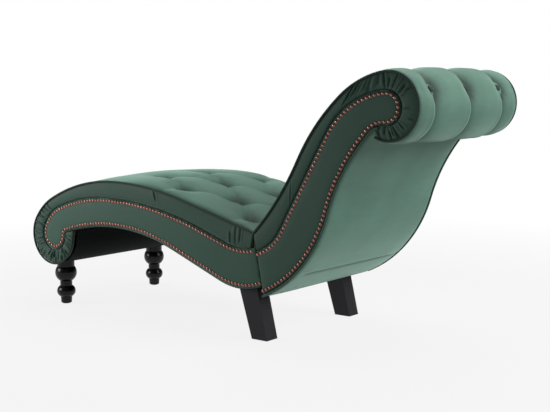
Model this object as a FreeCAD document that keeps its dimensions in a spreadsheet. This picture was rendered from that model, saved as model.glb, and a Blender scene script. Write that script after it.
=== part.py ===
import FreeCAD, Part
import math
import os

import Sketcher
from FreeCAD import Placement, Rotation, Vector

"""Chaise longue with a foot roll, a raked buttoned back and a scrolled head roll.

+X runs from the foot to the head, +Z is up, and the floor is z = 0. The sitter faces -X, so
"left" is the -Y side. Both modules are drawn in side view as chains of tangent lines and arcs.
"""

SIZES = [
    # alias, value, what it is (mm and degrees)
    ("seat_half_width", 278, "middle of the seat piping from the centre plane"),
    ("back_half_width", 283, "middle of the back piping from the centre plane"),
    ("piping_radius", 3.3, "radius of the covered cord along the seams"),
    ("fit_gap", 0.3, "clearance between neighbouring pieces"),
    ("board_thickness", 18, "plywood of the side boards, rails and joint boards"),
    ("panel_thickness", 3, "velvet side panel over card"),
    ("panel_inset", 3, "outer face of a side panel inside the piping's middle"),
    ("nail_margin", 11, "nail row to the edge of the side panel and board"),
    ("band_thickness", 20, "padded boxing band between piping and side panel"),
    ("cover_depth", 10, "tufted cover below the seam level"),
    ("pad_depth", 51, "seam level to the underside of the base foam"),
    ("deck_thickness", 6, "curved plywood decks"),
    # where the two modules meet
    ("joint_top_x", 220.2, "joint plane at the height of the seams"),
    ("joint_top_z", 332, "height of the seams at the joint"),
    ("joint_lean", 10.8, "lean of the joint plane from the vertical"),
    ("joint_gap", 3, "gap left between the modules, half on each side"),
    # seat seam line, from the joint to the inner edge of the foot roll
    ("seat_start_heading", 164.9, "direction of the seat seam line at the joint"),
    ("seat_run", 301.2, "straight rise ahead of the joint"),
    ("seat_crest_radius", 1151, "long crest of the seat"),
    ("seat_crest_turn", 14.8, "long crest of the seat"),
    ("seat_shoulder_radius", 665, "fall towards the foot"),
    ("seat_shoulder_turn", 28, "fall towards the foot"),
    ("seat_brow_radius", 215.7, "brow of the foot roll"),
    ("seat_brow_turn", 28.1, "brow of the foot roll"),
    ("foot_roll_radius", 99.7, "foot roll"),
    ("foot_roll_turn", 205.9, "foot roll"),
    ("foot_roll_tail", 35.5, "straight end inside the foot roll"),
    ("foot_pad_turn", 92, "part of the foot roll that the padding covers"),
    # seat nail line, along the top of the side panel and back along its foot
    ("seat_nail_drop", 54.4, "start of the seat nail line, down the joint from its top"),
    ("seat_nail_ahead", -22.6, "start of the seat nail line, from the joint towards the head"),
    ("seat_nail_heading", 188.4, "direction of the seat nail line at its start"),
    ("seat_nail_dip_radius", 232, "dip beside the joint"),
    ("seat_nail_dip_turn", 27.2, "dip beside the joint"),
    ("seat_nail_run", 106.8, "straight rise"),
    ("seat_nail_crest_radius", 1227, "long crest"),
    ("seat_nail_crest_turn", 20, "long crest"),
    ("seat_nail_shoulder_radius", 604, "fall towards the foot"),
    ("seat_nail_shoulder_turn", 21.2, "fall towards the foot"),
    ("seat_nail_brow_radius", 134.3, "brow of the foot roll"),
    ("seat_nail_brow_turn", 42.2, "brow of the foot roll"),
    ("seat_nail_tip_radius", 44.3, "tip inside the foot roll"),
    ("seat_nail_tip_turn", 203.9, "tip inside the foot roll"),
    ("seat_nail_crook_radius", 24.1, "crook between tip and underside"),
    ("seat_nail_crook_turn", 71, "crook between tip and underside"),
    ("seat_nail_arch_radius", 765.3, "arch of the underside"),
    ("seat_nail_arch_turn", 38.5, "arch of the underside"),
    ("seat_nail_fall", 203, "straight fall to the rear legs"),
    ("seat_nail_heel_radius", 225.3, "heel over the rear legs"),
    ("seat_nail_heel_turn", 40.3, "heel over the rear legs"),
    # back seam line, from the joint up the front and round the head roll
    ("back_start_heading", 45.3, "direction of the back seam line at the joint"),
    ("back_hollow_radius", 912.8, "hollow of the back"),
    ("back_hollow_turn", 17.4, "hollow of the back"),
    ("back_rise_radius", 615.4, "swell of the back"),
    ("back_rise_turn", 21.7, "swell of the back"),
    ("back_neck_radius", 286.4, "neck below the head roll"),
    ("back_neck_turn", 31.8, "neck below the head roll"),
    ("head_roll_radius", 93.4, "head roll"),
    ("head_roll_turn", 215.7, "head roll"),
    ("back_deck_stop", 9, "part of the neck that the deck leaves free"),
    # back nail line, up the front, round the scroll and down the rear
    ("back_nail_drop", 64.1, "start of the back nail line, down the joint from its top"),
    ("back_nail_ahead", 4.2, "start of the back nail line, from the joint towards the head"),
    ("back_nail_heading", 17.7, "direction of the back nail line at its start"),
    ("back_nail_hollow_radius", 156.2, "hollow beside the joint"),
    ("back_nail_hollow_turn", 42.9, "hollow beside the joint"),
    ("back_nail_run", 323.5, "straight rise"),
    ("back_nail_neck_radius", 243.9, "neck below the head roll"),
    ("back_nail_neck_turn", 54.4, "neck below the head roll"),
    ("back_nail_tip_radius", 38.3, "tip inside the head roll"),
    ("back_nail_tip_turn", 190.7, "tip inside the head roll"),
    ("back_nail_crook_radius", 68.6, "crook under the head roll"),
    ("back_nail_crook_turn", 50, "crook under the head roll"),
    ("back_nail_rear_radius", 573, "hollow of the outside back"),
    ("back_nail_rear_turn", 27.7, "hollow of the outside back"),
    ("back_nail_belly_radius", 401.2, "belly down to the joint"),
    ("back_nail_belly_turn", 49.1, "belly down to the joint"),
    # crowns and tufts of the two cushions
    ("crown_shoulder", 45, "rounded width at each side of a cushion"),
    ("crown_shoulder_share", 0.72, "height of the shoulder as a share of the crown"),
    ("seat_crown", 24, "crown of the seat above its seams"),
    ("seat_crest_crown", 17, "crown where the seat starts to fall towards the foot"),
    ("foot_crown", 10, "crown of the foot roll and its brow"),
    ("back_crown", 19, "crown of the backrest above its seams"),
    ("head_crown", 11, "crown of the head roll"),
    ("tuft_mouth_radius", 30, "mouth of a tuft pit"),
    ("pleat_half_width", 12, "half width of the pleats between tufts"),
    ("pleat_depth", 7, "depth of the pleats between tufts"),
    ("seat_tuft_level", 6, "floor of a seat tuft above the seam level"),
    ("back_tuft_level", 4, "floor of a back tuft above the seam level"),
    ("head_tuft_level", -3, "floor of a head roll tuft above the seam level"),
    ("seat_tuft_rear", 79, "rear row of three, along the seam from the joint"),
    ("seat_tuft_pair", 216, "rear row of two"),
    ("seat_tuft_middle", 369, "front row of three"),
    ("seat_tuft_front", 545, "front row of two"),
    ("back_tuft_low", 105, "lowest row of three of the back"),
    ("back_tuft_pair", 255, "row of two of the back"),
    ("back_tuft_high", 405, "upper row of three of the back"),
    ("head_tuft_turn", 67, "row of three round the head roll, from its start"),
    ("tuft_side", 195, "outer tufts from the centre plane in a row of three"),
    ("tuft_pair_side", 100, "tufts from the centre plane in a row of two"),
    ("button_radius", 9, "covered buttons"),
    ("button_height", 5, "covered buttons"),
    ("tie_radius", 1.5, "button ties"),
    ("tie_stop_radius", 8, "stop disc at the far end of a button tie"),
    ("tie_stop_height", 3, "stop disc at the far end of a button tie"),
    # upholstery nails
    ("nail_head_radius", 5.5, "domed nail heads"),
    ("nail_head_height", 2.6, "domed nail heads"),
    ("nail_pitch", 13.3, "spacing of the nail heads"),
    # frame
    ("seat_front_rail_at", 590, "front cross rail, along the seam from the joint"),
    ("seat_middle_rail_at", 330, "middle cross rail, along the seam from the joint"),
    ("back_middle_rail_at", 200, "middle cross rail of the back, along its seam"),
    ("back_upper_rail_at", 345, "upper cross rail of the back, along its seam"),
    ("cross_rail_height", 46, "cross rails under the decks"),
    ("leg_rail_width", 50, "rail that carries the front legs"),
    ("leg_rail_height", 40, "rails that carry the legs"),
    ("rear_rail_margin", 7, "rear leg rail beyond the leg, before and behind"),
    ("joint_board_bottom", 178, "lowest edge of both joint boards"),
    ("joint_board_height", 78, "height of both joint boards"),
    ("seat_lining_tuck", 3.2, "part of the arch that the foot roll's bands hide"),
    ("lining_thickness", 2, "black lining cloth on its backing"),
    ("outside_back_tuck", 20, "part of the crook that the head roll hides"),
    ("outside_back_thickness", 6, "velvet outside back on its backing board"),
    ("rear_piping_margin", 15, "rear nail row to the middle of the rear piping"),
    # legs
    ("front_leg_shift", -3.7, "axis of the front legs from the middle of the foot roll"),
    ("front_leg_y", 220, "axis of the front legs from the centre plane"),
    ("front_leg_top", 155, "top of the front legs"),
    ("front_leg_collar_radius", 30, "plain collar under the roll"),
    ("front_leg_collar_bottom", 131, "lower end of the plain collar"),
    ("front_leg_ball_radius", 37.5, "upper ball"),
    ("front_leg_ball_z", 111, "middle of the upper ball"),
    ("front_leg_neck_radius", 21, "neck between the balls"),
    ("front_leg_neck_top", 80, "upper end of the neck"),
    ("front_leg_neck_bottom", 63, "lower end of the neck"),
    ("front_leg_bead_radius", 32, "lower ball"),
    ("front_leg_bead_z", 40, "middle of the lower ball"),
    ("front_leg_foot_radius", 20, "top of the foot"),
    ("front_leg_foot_top", 24, "top of the foot"),
    ("front_leg_toe_radius", 18.5, "foot at its glide"),
    ("rear_leg_y", 193.5, "inner face of a rear leg from the centre plane"),
    ("rear_leg_width", 52, "rear leg across the chaise"),
    ("rear_leg_setback", 35, "front edge at the floor, ahead of the joint's top"),
    ("rear_leg_floor_depth", 58, "depth at the floor"),
    ("rear_leg_rake", 51, "how far the front edge leans over the leg's height"),
    ("rear_leg_top_depth", 70, "depth at the top"),
    ("rear_leg_top", 166, "top of the rear legs"),
    ("glide_radius", 13, "glides under the legs"),
    ("glide_height", 3, "glides under the legs"),
    # fasteners
    ("bolt_radius", 4, "threads and shanks of all bolts"),
    ("thread_gap", 0.05, "clearance of a thread in its hole"),
    ("bolt_end_gap", 1, "hole beyond the end of a bolt"),
    ("bolt_head_radius", 8, "bolt heads, washers and nuts"),
    ("bolt_head_height", 5, "bolt heads"),
    ("nut_height", 7, "nut with its washer"),
    ("hanger_bolt_length", 60, "hanger bolts of the front legs"),
    ("rear_bolt_length", 75, "shanks of the rear leg bolts"),
    ("rear_bolt_spread", 15, "rear leg bolts from the middle of the leg"),
    ("joint_bolt_side", 180, "joint bolts from the centre plane"),
    ("joint_bolt_spread", 24, "joint bolts from the middle of the joint boards"),
]

doc = FreeCAD.newDocument("ChaiseLongue")
sheet = doc.addObject("Spreadsheet::Sheet", "Sizes")
for row, (alias, value, note) in enumerate(SIZES, start=1):
    sheet.set(f"A{row}", alias)
    sheet.set(f"B{row}", str(value))
    sheet.set(f"C{row}", note)
    sheet.setAlias(f"B{row}", alias)
doc.recompute()

PARTS = []
STATIONS = 4  # crowned sections along each segment of a cushion
OVERSHOOT = 1.1  # a pit's cutter is this much taller than the pit
SIDES = (("left", -1), ("right", 1))


def size(alias):
    """Value of one cell."""
    return float(getattr(sheet, alias))


def cell(alias):
    """Expression that reads one cell."""
    return f"Sizes.{alias}"


def turned(length, heading):
    """Step of a length in a direction of the side view, degrees from +X towards +Z."""
    angle = math.radians(heading)
    return Vector(length * math.cos(angle), length * math.sin(angle), 0)


# Side view points are Vector(x, z, 0), as the sketches on the XZ plane use them.
JOINT_TOP = Vector(size("joint_top_x"), size("joint_top_z"), 0)
JOINT_DOWN = turned(1, size("joint_lean") - 90)
JOINT_AHEAD = turned(1, size("joint_lean"))


def reach_to_joint(point, heading, side):
    """Distance from a point, along a heading, to the end face of the module on that side."""
    face = JOINT_TOP + JOINT_AHEAD * (side * size("joint_gap") / 2)
    step = turned(1, heading)
    return (face - point).dot(JOINT_AHEAD) / step.dot(JOINT_AHEAD)


class Edge:
    """One line or arc of an outline, with the expression that binds its radius."""

    def __init__(self, curve, start, end, radius=None, first=1, last=2):
        self.curve = curve
        self.start = start
        self.end = end
        self.radius = radius
        self.first = first
        self.last = last
        self.smooth = False

    def reverse(self):
        return Edge(self.curve, self.end, self.start, self.radius, self.last, self.first)


def line(start, end):
    return Edge(Part.LineSegment(start, end), start, end)


class Chain:
    """Tangent lines and arcs. `inner` is +1 where the padding lies left of the travel, else -1."""

    def __init__(self, start, heading, segments, inner):
        self.start = start
        self.heading = heading
        self.segments = segments
        self.inner = inner

    def part(self, first, last, last_turn=None):
        """The same line from one segment to another, the last one cut short if a turn is given."""
        start, heading = self.start, self.heading
        for segment in self.segments[:first]:
            start, heading = self.step(start, heading, segment, 0)
        segments = list(self.segments[first:last])
        if last_turn is not None:
            side, radius, _ = segments[-1]
            segments[-1] = (side, radius, last_turn)
        return Chain(start, heading, segments, self.inner)

    def beyond(self, turn):
        """The same line without the first part of its first arc."""
        side, radius, whole = self.segments[0]
        start, heading = self.step(self.start, self.heading, (side, radius, turn), 0)
        rest = (side, radius, size(whole) - turn)
        return Chain(start, heading, [rest] + self.segments[1:], self.inner)

    def turn_of(self, segment):
        side, _, turn = segment
        value = size(turn) if isinstance(turn, str) else turn
        return value if side == "left" else -value

    def step(self, point, heading, segment, depth):
        if segment[0] == "line":
            return point + turned(size(segment[1]), heading), heading
        turn = self.turn_of(segment)
        radius = self.radius_at(segment, depth)
        side = math.copysign(1, turn)
        centre = point + turned(radius, heading + 90 * side)
        return centre - turned(radius, heading + turn + 90 * side), heading + turn

    def radius_at(self, segment, depth):
        inwards = self.inner == (1 if segment[0] == "left" else -1)
        return size(segment[1]) + (-depth if inwards else depth)

    def offset_start(self, depth):
        return self.start + turned(depth, self.heading + 90 * self.inner)

    def edges(self, depth=0, depth_cells=(), joint_start=None, joint_end=None):
        """Edges at a depth inside the line, run out to the joint plane where a side is given."""
        point, heading, made = self.offset_start(depth), self.heading, []
        if joint_start:
            run = reach_to_joint(point, heading, joint_start)
            if run < -1e-3:
                outer = point + turned(run, heading)
                made.append(line(outer, point))
        for segment in self.segments:
            end, end_heading = self.step(point, heading, segment, depth)
            if segment[0] == "line":
                made.append(line(point, end))
            else:
                made.append(self.arc(point, heading, segment, depth, depth_cells))
                made[-1].end = end
            point, heading = end, end_heading
        if joint_end:
            run = reach_to_joint(point, heading, joint_end)
            if run > 1e-3:
                made.append(line(point, point + turned(run, heading)))
        for edge in made[:-1]:
            edge.smooth = True
        return made

    def arc(self, point, heading, segment, depth, depth_cells):
        turn, radius = self.turn_of(segment), self.radius_at(segment, depth)
        side = math.copysign(1, turn)
        centre = point + turned(radius, heading + 90 * side)
        begin = math.radians(heading - 90 * side)
        circle = Part.Circle(centre, Vector(0, 0, 1), radius)
        inwards = self.inner == side
        sign = "-" if inwards else "+"
        words = cell(segment[1])
        for name, share in depth_cells:
            words += f" {sign} {share} * {cell(name)}"
        if side > 0:
            curve = Part.ArcOfCircle(circle, begin, begin + math.radians(turn))
            return Edge(curve, point, point, words)
        curve = Part.ArcOfCircle(circle, begin + math.radians(turn), begin)
        return Edge(curve, point, point, words, 2, 1)

    def at(self, distance, depth=0):
        """Point and heading at a distance along the line, measured at no depth."""
        point, heading = self.start, self.heading
        for segment in self.segments:
            if segment[0] == "line":
                length = size(segment[1])
            else:
                length = size(segment[1]) * math.radians(abs(self.turn_of(segment)))
            if distance <= length or segment is self.segments[-1]:
                break
            point, heading = self.step(point, heading, segment, 0)
            distance -= length
        if segment[0] == "line":
            point = point + turned(distance, heading)
        else:
            side = "left" if segment[0] == "left" else "right"
            turn = math.degrees(distance / size(segment[1]))
            point, heading = self.step(point, heading, (side, segment[1], turn), 0)
        return point + turned(depth, heading + 90 * self.inner), heading

    def length(self):
        total = 0
        for segment in self.segments:
            if segment[0] == "line":
                total += size(segment[1])
            else:
                total += size(segment[1]) * math.radians(abs(self.turn_of(segment)))
        return total


def from_joint(drop, ahead):
    """Point of the side view, measured from the top of the joint."""
    return JOINT_TOP + JOINT_DOWN * size(drop) + JOINT_AHEAD * size(ahead)


SEAT_SEAM = Chain(JOINT_TOP - JOINT_AHEAD * (size("joint_gap") / 2), size("seat_start_heading"), [
    ("line", "seat_run"),
    ("left", "seat_crest_radius", "seat_crest_turn"),
    ("left", "seat_shoulder_radius", "seat_shoulder_turn"),
    ("left", "seat_brow_radius", "seat_brow_turn"),
    ("left", "foot_roll_radius", "foot_roll_turn"),
    ("line", "foot_roll_tail"),
], inner=1)
SEAT_NAILS = Chain(from_joint("seat_nail_drop", "seat_nail_ahead"), size("seat_nail_heading"), [
    ("right", "seat_nail_dip_radius", "seat_nail_dip_turn"),
    ("line", "seat_nail_run"),
    ("left", "seat_nail_crest_radius", "seat_nail_crest_turn"),
    ("left", "seat_nail_shoulder_radius", "seat_nail_shoulder_turn"),
    ("left", "seat_nail_brow_radius", "seat_nail_brow_turn"),
    ("left", "seat_nail_tip_radius", "seat_nail_tip_turn"),
    ("right", "seat_nail_crook_radius", "seat_nail_crook_turn"),
    ("right", "seat_nail_arch_radius", "seat_nail_arch_turn"),
    ("line", "seat_nail_fall"),
    ("left", "seat_nail_heel_radius", "seat_nail_heel_turn"),
], inner=1)
BACK_SEAM = Chain(JOINT_TOP + JOINT_AHEAD * (size("joint_gap") / 2), size("back_start_heading"), [
    ("left", "back_hollow_radius", "back_hollow_turn"),
    ("right", "back_rise_radius", "back_rise_turn"),
    ("right", "back_neck_radius", "back_neck_turn"),
    ("right", "head_roll_radius", "head_roll_turn"),
], inner=-1)
BACK_NAILS = Chain(from_joint("back_nail_drop", "back_nail_ahead"), size("back_nail_heading"), [
    ("left", "back_nail_hollow_radius", "back_nail_hollow_turn"),
    ("line", "back_nail_run"),
    ("right", "back_nail_neck_radius", "back_nail_neck_turn"),
    ("right", "back_nail_tip_radius", "back_nail_tip_turn"),
    ("left", "back_nail_crook_radius", "back_nail_crook_turn"),
    ("left", "back_nail_rear_radius", "back_nail_rear_turn"),
    ("right", "back_nail_belly_radius", "back_nail_belly_turn"),
], inner=-1)
SEAT_PADDED = SEAT_SEAM.part(0, 5, "foot_pad_turn")
SEAT_TOP = SEAT_SEAM.part(0, 4)
SEAT_UNDERSIDE = SEAT_NAILS.part(7, 10).beyond(size("seat_lining_tuck"))
FOOT_ROLL = SEAT_SEAM.part(4, 6)
HEAD_ROLL = BACK_SEAM.part(3, 4)
BACK_DECK = BACK_SEAM.part(0, 3, size("back_neck_turn") - size("back_deck_stop"))
BACK_REAR = BACK_NAILS.part(4, 7).beyond(size("outside_back_tuck"))


def roll_centre(chain):
    """Middle of the arc that a chain starts with."""
    side, radius, _ = chain.segments[0]
    return chain.start + turned(size(radius), chain.heading + (90 if side == "left" else -90))


FOOT_CENTRE = roll_centre(FOOT_ROLL)
HEAD_CENTRE = roll_centre(HEAD_ROLL)


def keep(item, label):
    """List an object as one sub-part under its own name."""
    item.Label = label
    PARTS.append(item)
    return item


def new_body(name):
    return doc.addObject("PartDesign::Body", name)


def side_sketch(body, name, offset):
    """Sketch on the body's XZ plane; its normal is -Y, so the offset is counted towards -Y."""
    sketch = body.newObject("Sketcher::SketchObject", name)
    plane = [f for f in body.Origin.OriginFeatures if f.Role == "XZ_Plane"][0]
    sketch.AttachmentSupport = [(plane, "")]
    sketch.MapMode = "FlatFace"
    sketch.setExpression("AttachmentOffset.Base.z", offset)
    return sketch


def draw(sketch, edges, closed=True):
    """Put an outline into a sketch: tangent where it runs on smoothly, with bound radii."""
    for index, edge in enumerate(edges):
        sketch.addGeometry(edge.curve)
        if edge.radius:
            number = sketch.addConstraint(
                Sketcher.Constraint("Radius", index, edge.curve.Radius))
            sketch.renameConstraint(number, f"radius_{index}")
            sketch.setExpression(f"Constraints.radius_{index}", edge.radius)
    count = len(edges)
    for index in range(count if closed else count - 1):
        after = (index + 1) % count
        kind = "Tangent" if edges[index].smooth else "Coincident"
        sketch.addConstraint(
            Sketcher.Constraint(kind, index, edges[index].last, after, edges[after].first))


def strip(outer, inner):
    """Closed outline between two runs of edges that start and end side by side."""
    back = [edge.reverse() for edge in reversed(inner)]
    for edge in back[:-1]:
        edge.smooth = True
    return (outer + [line(outer[-1].end, back[0].start)] + back
            + [line(back[-1].end, outer[0].start)])


def slab(label, edges, offset, thickness):
    """Outline padded across the chaise, from `offset` towards -Y."""
    body = new_body(label)
    sketch = side_sketch(body, label + "_outline", offset)
    draw(sketch, edges)
    pad = body.newObject("PartDesign::Pad", label + "_pad")
    pad.Profile = sketch
    pad.setExpression("Length", thickness)
    return body


def side_slab(label, edges, side, inner_face, thickness):
    """A slab whose inner face lies at `inner_face` from the centre plane, on one side."""
    offset = inner_face if side < 0 else f"-({inner_face} + {thickness})"
    return slab(label, edges, offset, thickness)


def cross_slab(label, edges, half_width):
    """A slab from one side of the chaise to the other."""
    return slab(label, edges, f"-({half_width})", f"2 * ({half_width})")


def piping(label, chain, depth, depth_cells, side, half_width, joints):
    """Covered cord along a seam."""
    body = new_body(label)
    spine = side_sketch(body, label + "_seam", f"{-side} * ({half_width})")
    draw(spine, chain.edges(depth, depth_cells, *joints), closed=False)
    doc.recompute()
    ring = body.newObject("Sketcher::SketchObject", label + "_ring")
    ring.AttachmentSupport = [(spine, "Edge1")]
    ring.MapMode = "NormalToEdge"
    ring.addGeometry(Part.Circle(Vector(), Vector(0, 0, 1), size("piping_radius")))
    ring.addConstraint(Sketcher.Constraint("Coincident", 0, 3, -1, 1))
    number = ring.addConstraint(Sketcher.Constraint("Radius", 0, size("piping_radius")))
    ring.renameConstraint(number, "radius")
    ring.setExpression("Constraints.radius", cell("piping_radius"))
    pipe = body.newObject("PartDesign::AdditivePipe", label + "_pipe")
    pipe.Profile = ring
    pipe.Spine = spine
    return body


class Module:
    """Widths shared by the pieces of one module, as expressions and as values."""

    def __init__(self, name, half_width, joint_side):
        self.name = name
        self.joint = joint_side
        self.half = cell(half_width)
        self.half_value = size(half_width)
        self.panel_inner = f"{self.half} - Sizes.panel_inset - Sizes.panel_thickness"
        self.board_inner = f"{self.panel_inner} - Sizes.board_thickness"
        self.board_inner_value = (self.half_value - size("panel_inset")
                                  - size("panel_thickness") - size("board_thickness"))
        self.cover_half = self.half_value - size("piping_radius") - size("fit_gap")


SEAT = Module("seat", "seat_half_width", -1)
BACK = Module("back", "back_half_width", 1)


def panel_edges(chain, module):
    """Outline of a side panel and of the board behind it, closed along the joint."""
    margin = size("nail_margin")
    run = chain.edges(-margin, [("nail_margin", -1)], module.joint, module.joint)
    return run + [line(run[-1].end, run[0].start)]


def trimmed(label, base, module):
    """A piece cut off at the end face of its module."""
    beyond = doc.addObject("Part::Feature", label + "_joint_trim")
    beyond.Shape = joint_block(module.joint)
    return keep(cut(label, base, [beyond]), label)


def make_boards(module, chain):
    for name, side in SIDES:
        for kind, inner, thickness in (("board", module.board_inner, "board_thickness"),
                                       ("panel", module.panel_inner, "panel_thickness")):
            label = f"{module.name}_side_{kind}_{name}"
            blank = side_slab(label + "_blank", panel_edges(chain, module), side,
                              f"({inner})", cell(thickness))
            trimmed(label, blank, module)


def band_edges(seam, nails, last, module):
    """Boxing band between the seam line and the outline of the side panel."""
    depth = size("cover_depth") + size("fit_gap")
    cells = [("cover_depth", 1), ("fit_gap", 1)]
    outer = seam.edges(depth, cells, module.joint)
    margin = size("nail_margin") + size("fit_gap")
    inner = nails.part(0, last).edges(
        -margin, [("nail_margin", -1), ("fit_gap", -1)], module.joint)
    return strip(outer, inner)


def make_bands(module, seam, nails, last):
    for name, side in SIDES:
        label = f"{module.name}_band_{name}"
        edges = band_edges(seam, nails, last, module)
        keep(side_slab(label, edges, side, f"({module.half} - Sizes.band_thickness)",
                       cell("band_thickness")), label)


def layer_edges(chain, module, top, top_cells, bottom, bottom_cells):
    return strip(chain.edges(top, top_cells, module.joint),
                 chain.edges(bottom, bottom_cells, module.joint))


def make_foam_and_deck(module, padded, decked):
    """Base foam under the tufted cover, and the curved deck under the foam."""
    top = size("cover_depth") + size("fit_gap")
    low = size("pad_depth")
    half = f"{module.half} - Sizes.band_thickness - Sizes.fit_gap"
    foam = cross_slab(
        f"{module.name}_foam_blank",
        layer_edges(padded, module, top, [("cover_depth", 1), ("fit_gap", 1)],
                    low, [("pad_depth", 1)]),
        f"min({half}; {module.board_inner})")
    deck = cross_slab(
        f"{module.name}_deck_blank",
        layer_edges(decked, module, low, [("pad_depth", 1)],
                    low + size("deck_thickness"), [("pad_depth", 1), ("deck_thickness", 1)]),
        module.board_inner)
    return foam, deck


def section(point, heading, inner, module, crown):
    """Crowned cross-section of a cushion, square to its seam line."""
    origin = Vector(point.x, 0, point.y)
    lift = turned(1, heading - 90 * inner)
    up = Vector(lift.x, 0, lift.y)
    half, shoulder = module.cover_half, size("crown_shoulder")
    rise = crown * size("crown_shoulder_share")

    def place(across, height):
        return origin + Vector(0, across, 0) + up * height

    bend = shoulder * (1 - math.sqrt(0.5))
    side_rise = rise * math.sqrt(0.5)
    edges = [
        Part.LineSegment(place(-half, -size("cover_depth")), place(-half, 0)),
        Part.Arc(place(-half, 0), place(bend - half, side_rise), place(shoulder - half, rise)),
        Part.Arc(place(shoulder - half, rise), place(0, crown), place(half - shoulder, rise)),
        Part.Arc(place(half - shoulder, rise), place(half - bend, side_rise), place(half, 0)),
        Part.LineSegment(place(half, 0), place(half, -size("cover_depth"))),
        Part.LineSegment(place(half, -size("cover_depth")), place(-half, -size("cover_depth"))),
    ]
    return Part.Wire([edge.toShape() for edge in edges])


def crowned_sweep(chain, module, crowns, run_in):
    """Cushion blank along its seam line, through sections with their own crowns."""
    point, heading = chain.at(0)
    before = point - turned(run_in, heading)
    spine_edges = [line(before, point)] + chain.edges()
    turn_up = Rotation(Vector(1, 0, 0), 90)
    wire = Part.Wire([edge.curve.toShape() for edge in spine_edges])
    wire = wire.transformed(Placement(Vector(), turn_up).toMatrix())
    shell = Part.BRepOffsetAPI.MakePipeShell(wire)
    shell.setBiNormalMode(Vector(0, 1, 0))
    shell.add(section(before, heading, chain.inner, module, crowns[0][1]))
    for distance, crown in crowns:
        shell.add(section(*chain.at(distance), chain.inner, module, crown))
    shell.build()
    shell.makeSolid()
    blank = shell.shape()
    if blank.Volume < 0:
        blank.reverse()
    return blank


def tuft_frame(chain, distance, across):
    """Seam-level point of a tuft and the direction out of the cushion."""
    point, heading = chain.at(distance)
    lift = turned(1, heading - 90 * chain.inner)
    return Vector(point.x, across, point.y), Vector(lift.x, 0, lift.y)


def tuft_rows(chain, crowns, rows):
    """Rows of tufts as lists of (point, outwards, level of the pit's floor, crown there)."""
    made = []
    for distance, sides, level in rows:
        crown = crown_at(crowns, distance)
        frames = [tuft_frame(chain, distance, across) for across in sides]
        made.append([(point, out, size(level), crown) for point, out in frames])
    return made


def pit(point, out, level, crown):
    """Cutter for one tuft: a funnel from above the crown down to the pit's floor."""
    depth = crown - level
    floor = size("button_radius") + size("fit_gap")
    wide = floor + (size("tuft_mouth_radius") - floor) * OVERSHOOT
    return Part.makeCone(floor, wide, depth * OVERSHOOT, point + out * level, out)


def pleat(tuft, far_tuft):
    """Cutter for the pleat between two tufts: a straight V with its keel below the crown."""
    start, start_out, _, start_crown = tuft
    end, end_out, _, end_crown = far_tuft
    out = (start_out + end_out).normalize()
    along = (end - start).normalize()
    across = along.cross(out).normalize()
    depth, half = size("pleat_depth"), size("pleat_half_width")
    low = start + start_out * (start_crown - depth)
    far_low = end + end_out * (end_crown - depth)
    top = low + start_out * 2 * depth
    face = Part.Face(Part.makePolygon([low, top + across * 2 * half, top - across * 2 * half, low]))
    return face.extrude(far_low - low)


def joint_block(side):
    """Everything beyond the end face of the module on that side."""
    reach = 3 * size("joint_top_z")  # well beyond either module
    block = Part.makeBox(reach, 2 * reach, 2 * reach, Vector(0, -reach, -reach))
    block.rotate(Vector(), Vector(0, 1, 0), -size("joint_lean"))
    if side > 0:
        block.rotate(Vector(), Vector(JOINT_DOWN.x, 0, JOINT_DOWN.y), 180)
    face = JOINT_TOP + JOINT_AHEAD * (side * size("joint_gap") / 2)
    block.translate(Vector(face.x, 0, face.y))
    return block


def make_cushion(module, blank, rows, roll_rows):
    """Tufted cover: the blank cut off at the joint, with its pits and diamond pleats."""
    pits = [pit(*tuft) for row in rows + roll_rows for tuft in row]
    cover = blank.cut(joint_block(module.joint)).cut(pits).cut(tie_drills(rows))
    for row, following in zip(rows, rows[1:]):
        for tuft in row:
            for far_tuft in following:
                if abs(far_tuft[0].y - tuft[0].y) < size("tuft_side"):
                    cover = cover.cut(pleat(tuft, far_tuft))
    cushion = doc.addObject("Part::Feature", f"{module.name}_cushion")
    cushion.Shape = cover
    return keep(cushion, f"{module.name}_cushion")


def dome(radius, height, point, out):
    """Domed head or button with a flat back at `point`."""
    ball = (radius * radius + height * height) / (2 * height)
    lowest = math.degrees(math.asin((ball - height) / ball))
    return Part.makeSphere(ball, point - out * (ball - height), out, lowest, 90, 360)


def make_buttons(module, rows):
    """Covered buttons on the floors of the tufts."""
    buttons = doc.addObject("Part::Feature", f"{module.name}_buttons")
    solids = [dome(size("button_radius"), size("button_height"), point + out * level, out)
              for row in rows for point, out, level, _ in row]
    buttons.Shape = Part.makeCompound(solids)
    return keep(buttons, f"{module.name}_buttons")


def make_ties(module, rows):
    """Button ties, each a cord with a stop disc behind the deck."""
    ties = doc.addObject("Part::Feature", f"{module.name}_button_ties")
    solids = []
    behind = size("pad_depth") + size("deck_thickness") + size("fit_gap")
    for row in rows:
        for point, out, level, _ in row:
            low = point - out * behind
            cord = Part.makeCylinder(size("tie_radius"), behind + level, low, out)
            stop = Part.makeCylinder(size("tie_stop_radius"), size("tie_stop_height"),
                                     low - out * size("tie_stop_height"), out)
            solids.append(cord.fuse(stop).removeSplitter())
    ties.Shape = Part.makeCompound(solids)
    return keep(ties, f"{module.name}_button_ties")


def tie_drills(rows):
    """Cutters for the holes that the button ties run through."""
    low = size("pad_depth") + 2 * size("deck_thickness")
    radius = size("tie_radius") + size("fit_gap")
    return [Part.makeCylinder(radius, low + size("tuft_mouth_radius"), point - out * low, out)
            for row in rows for point, out, _, _ in row]


def tie_holes(label, base, rows):
    """A body drilled for the button ties."""
    holes = doc.addObject("Part::Feature", label + "_tie_holes")
    holes.Shape = Part.makeCompound(tie_drills(rows))
    drilled = doc.addObject("Part::Cut", label + "_drilled")
    drilled.Base = base
    drilled.Tool = holes
    return keep(drilled, label)


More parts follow.
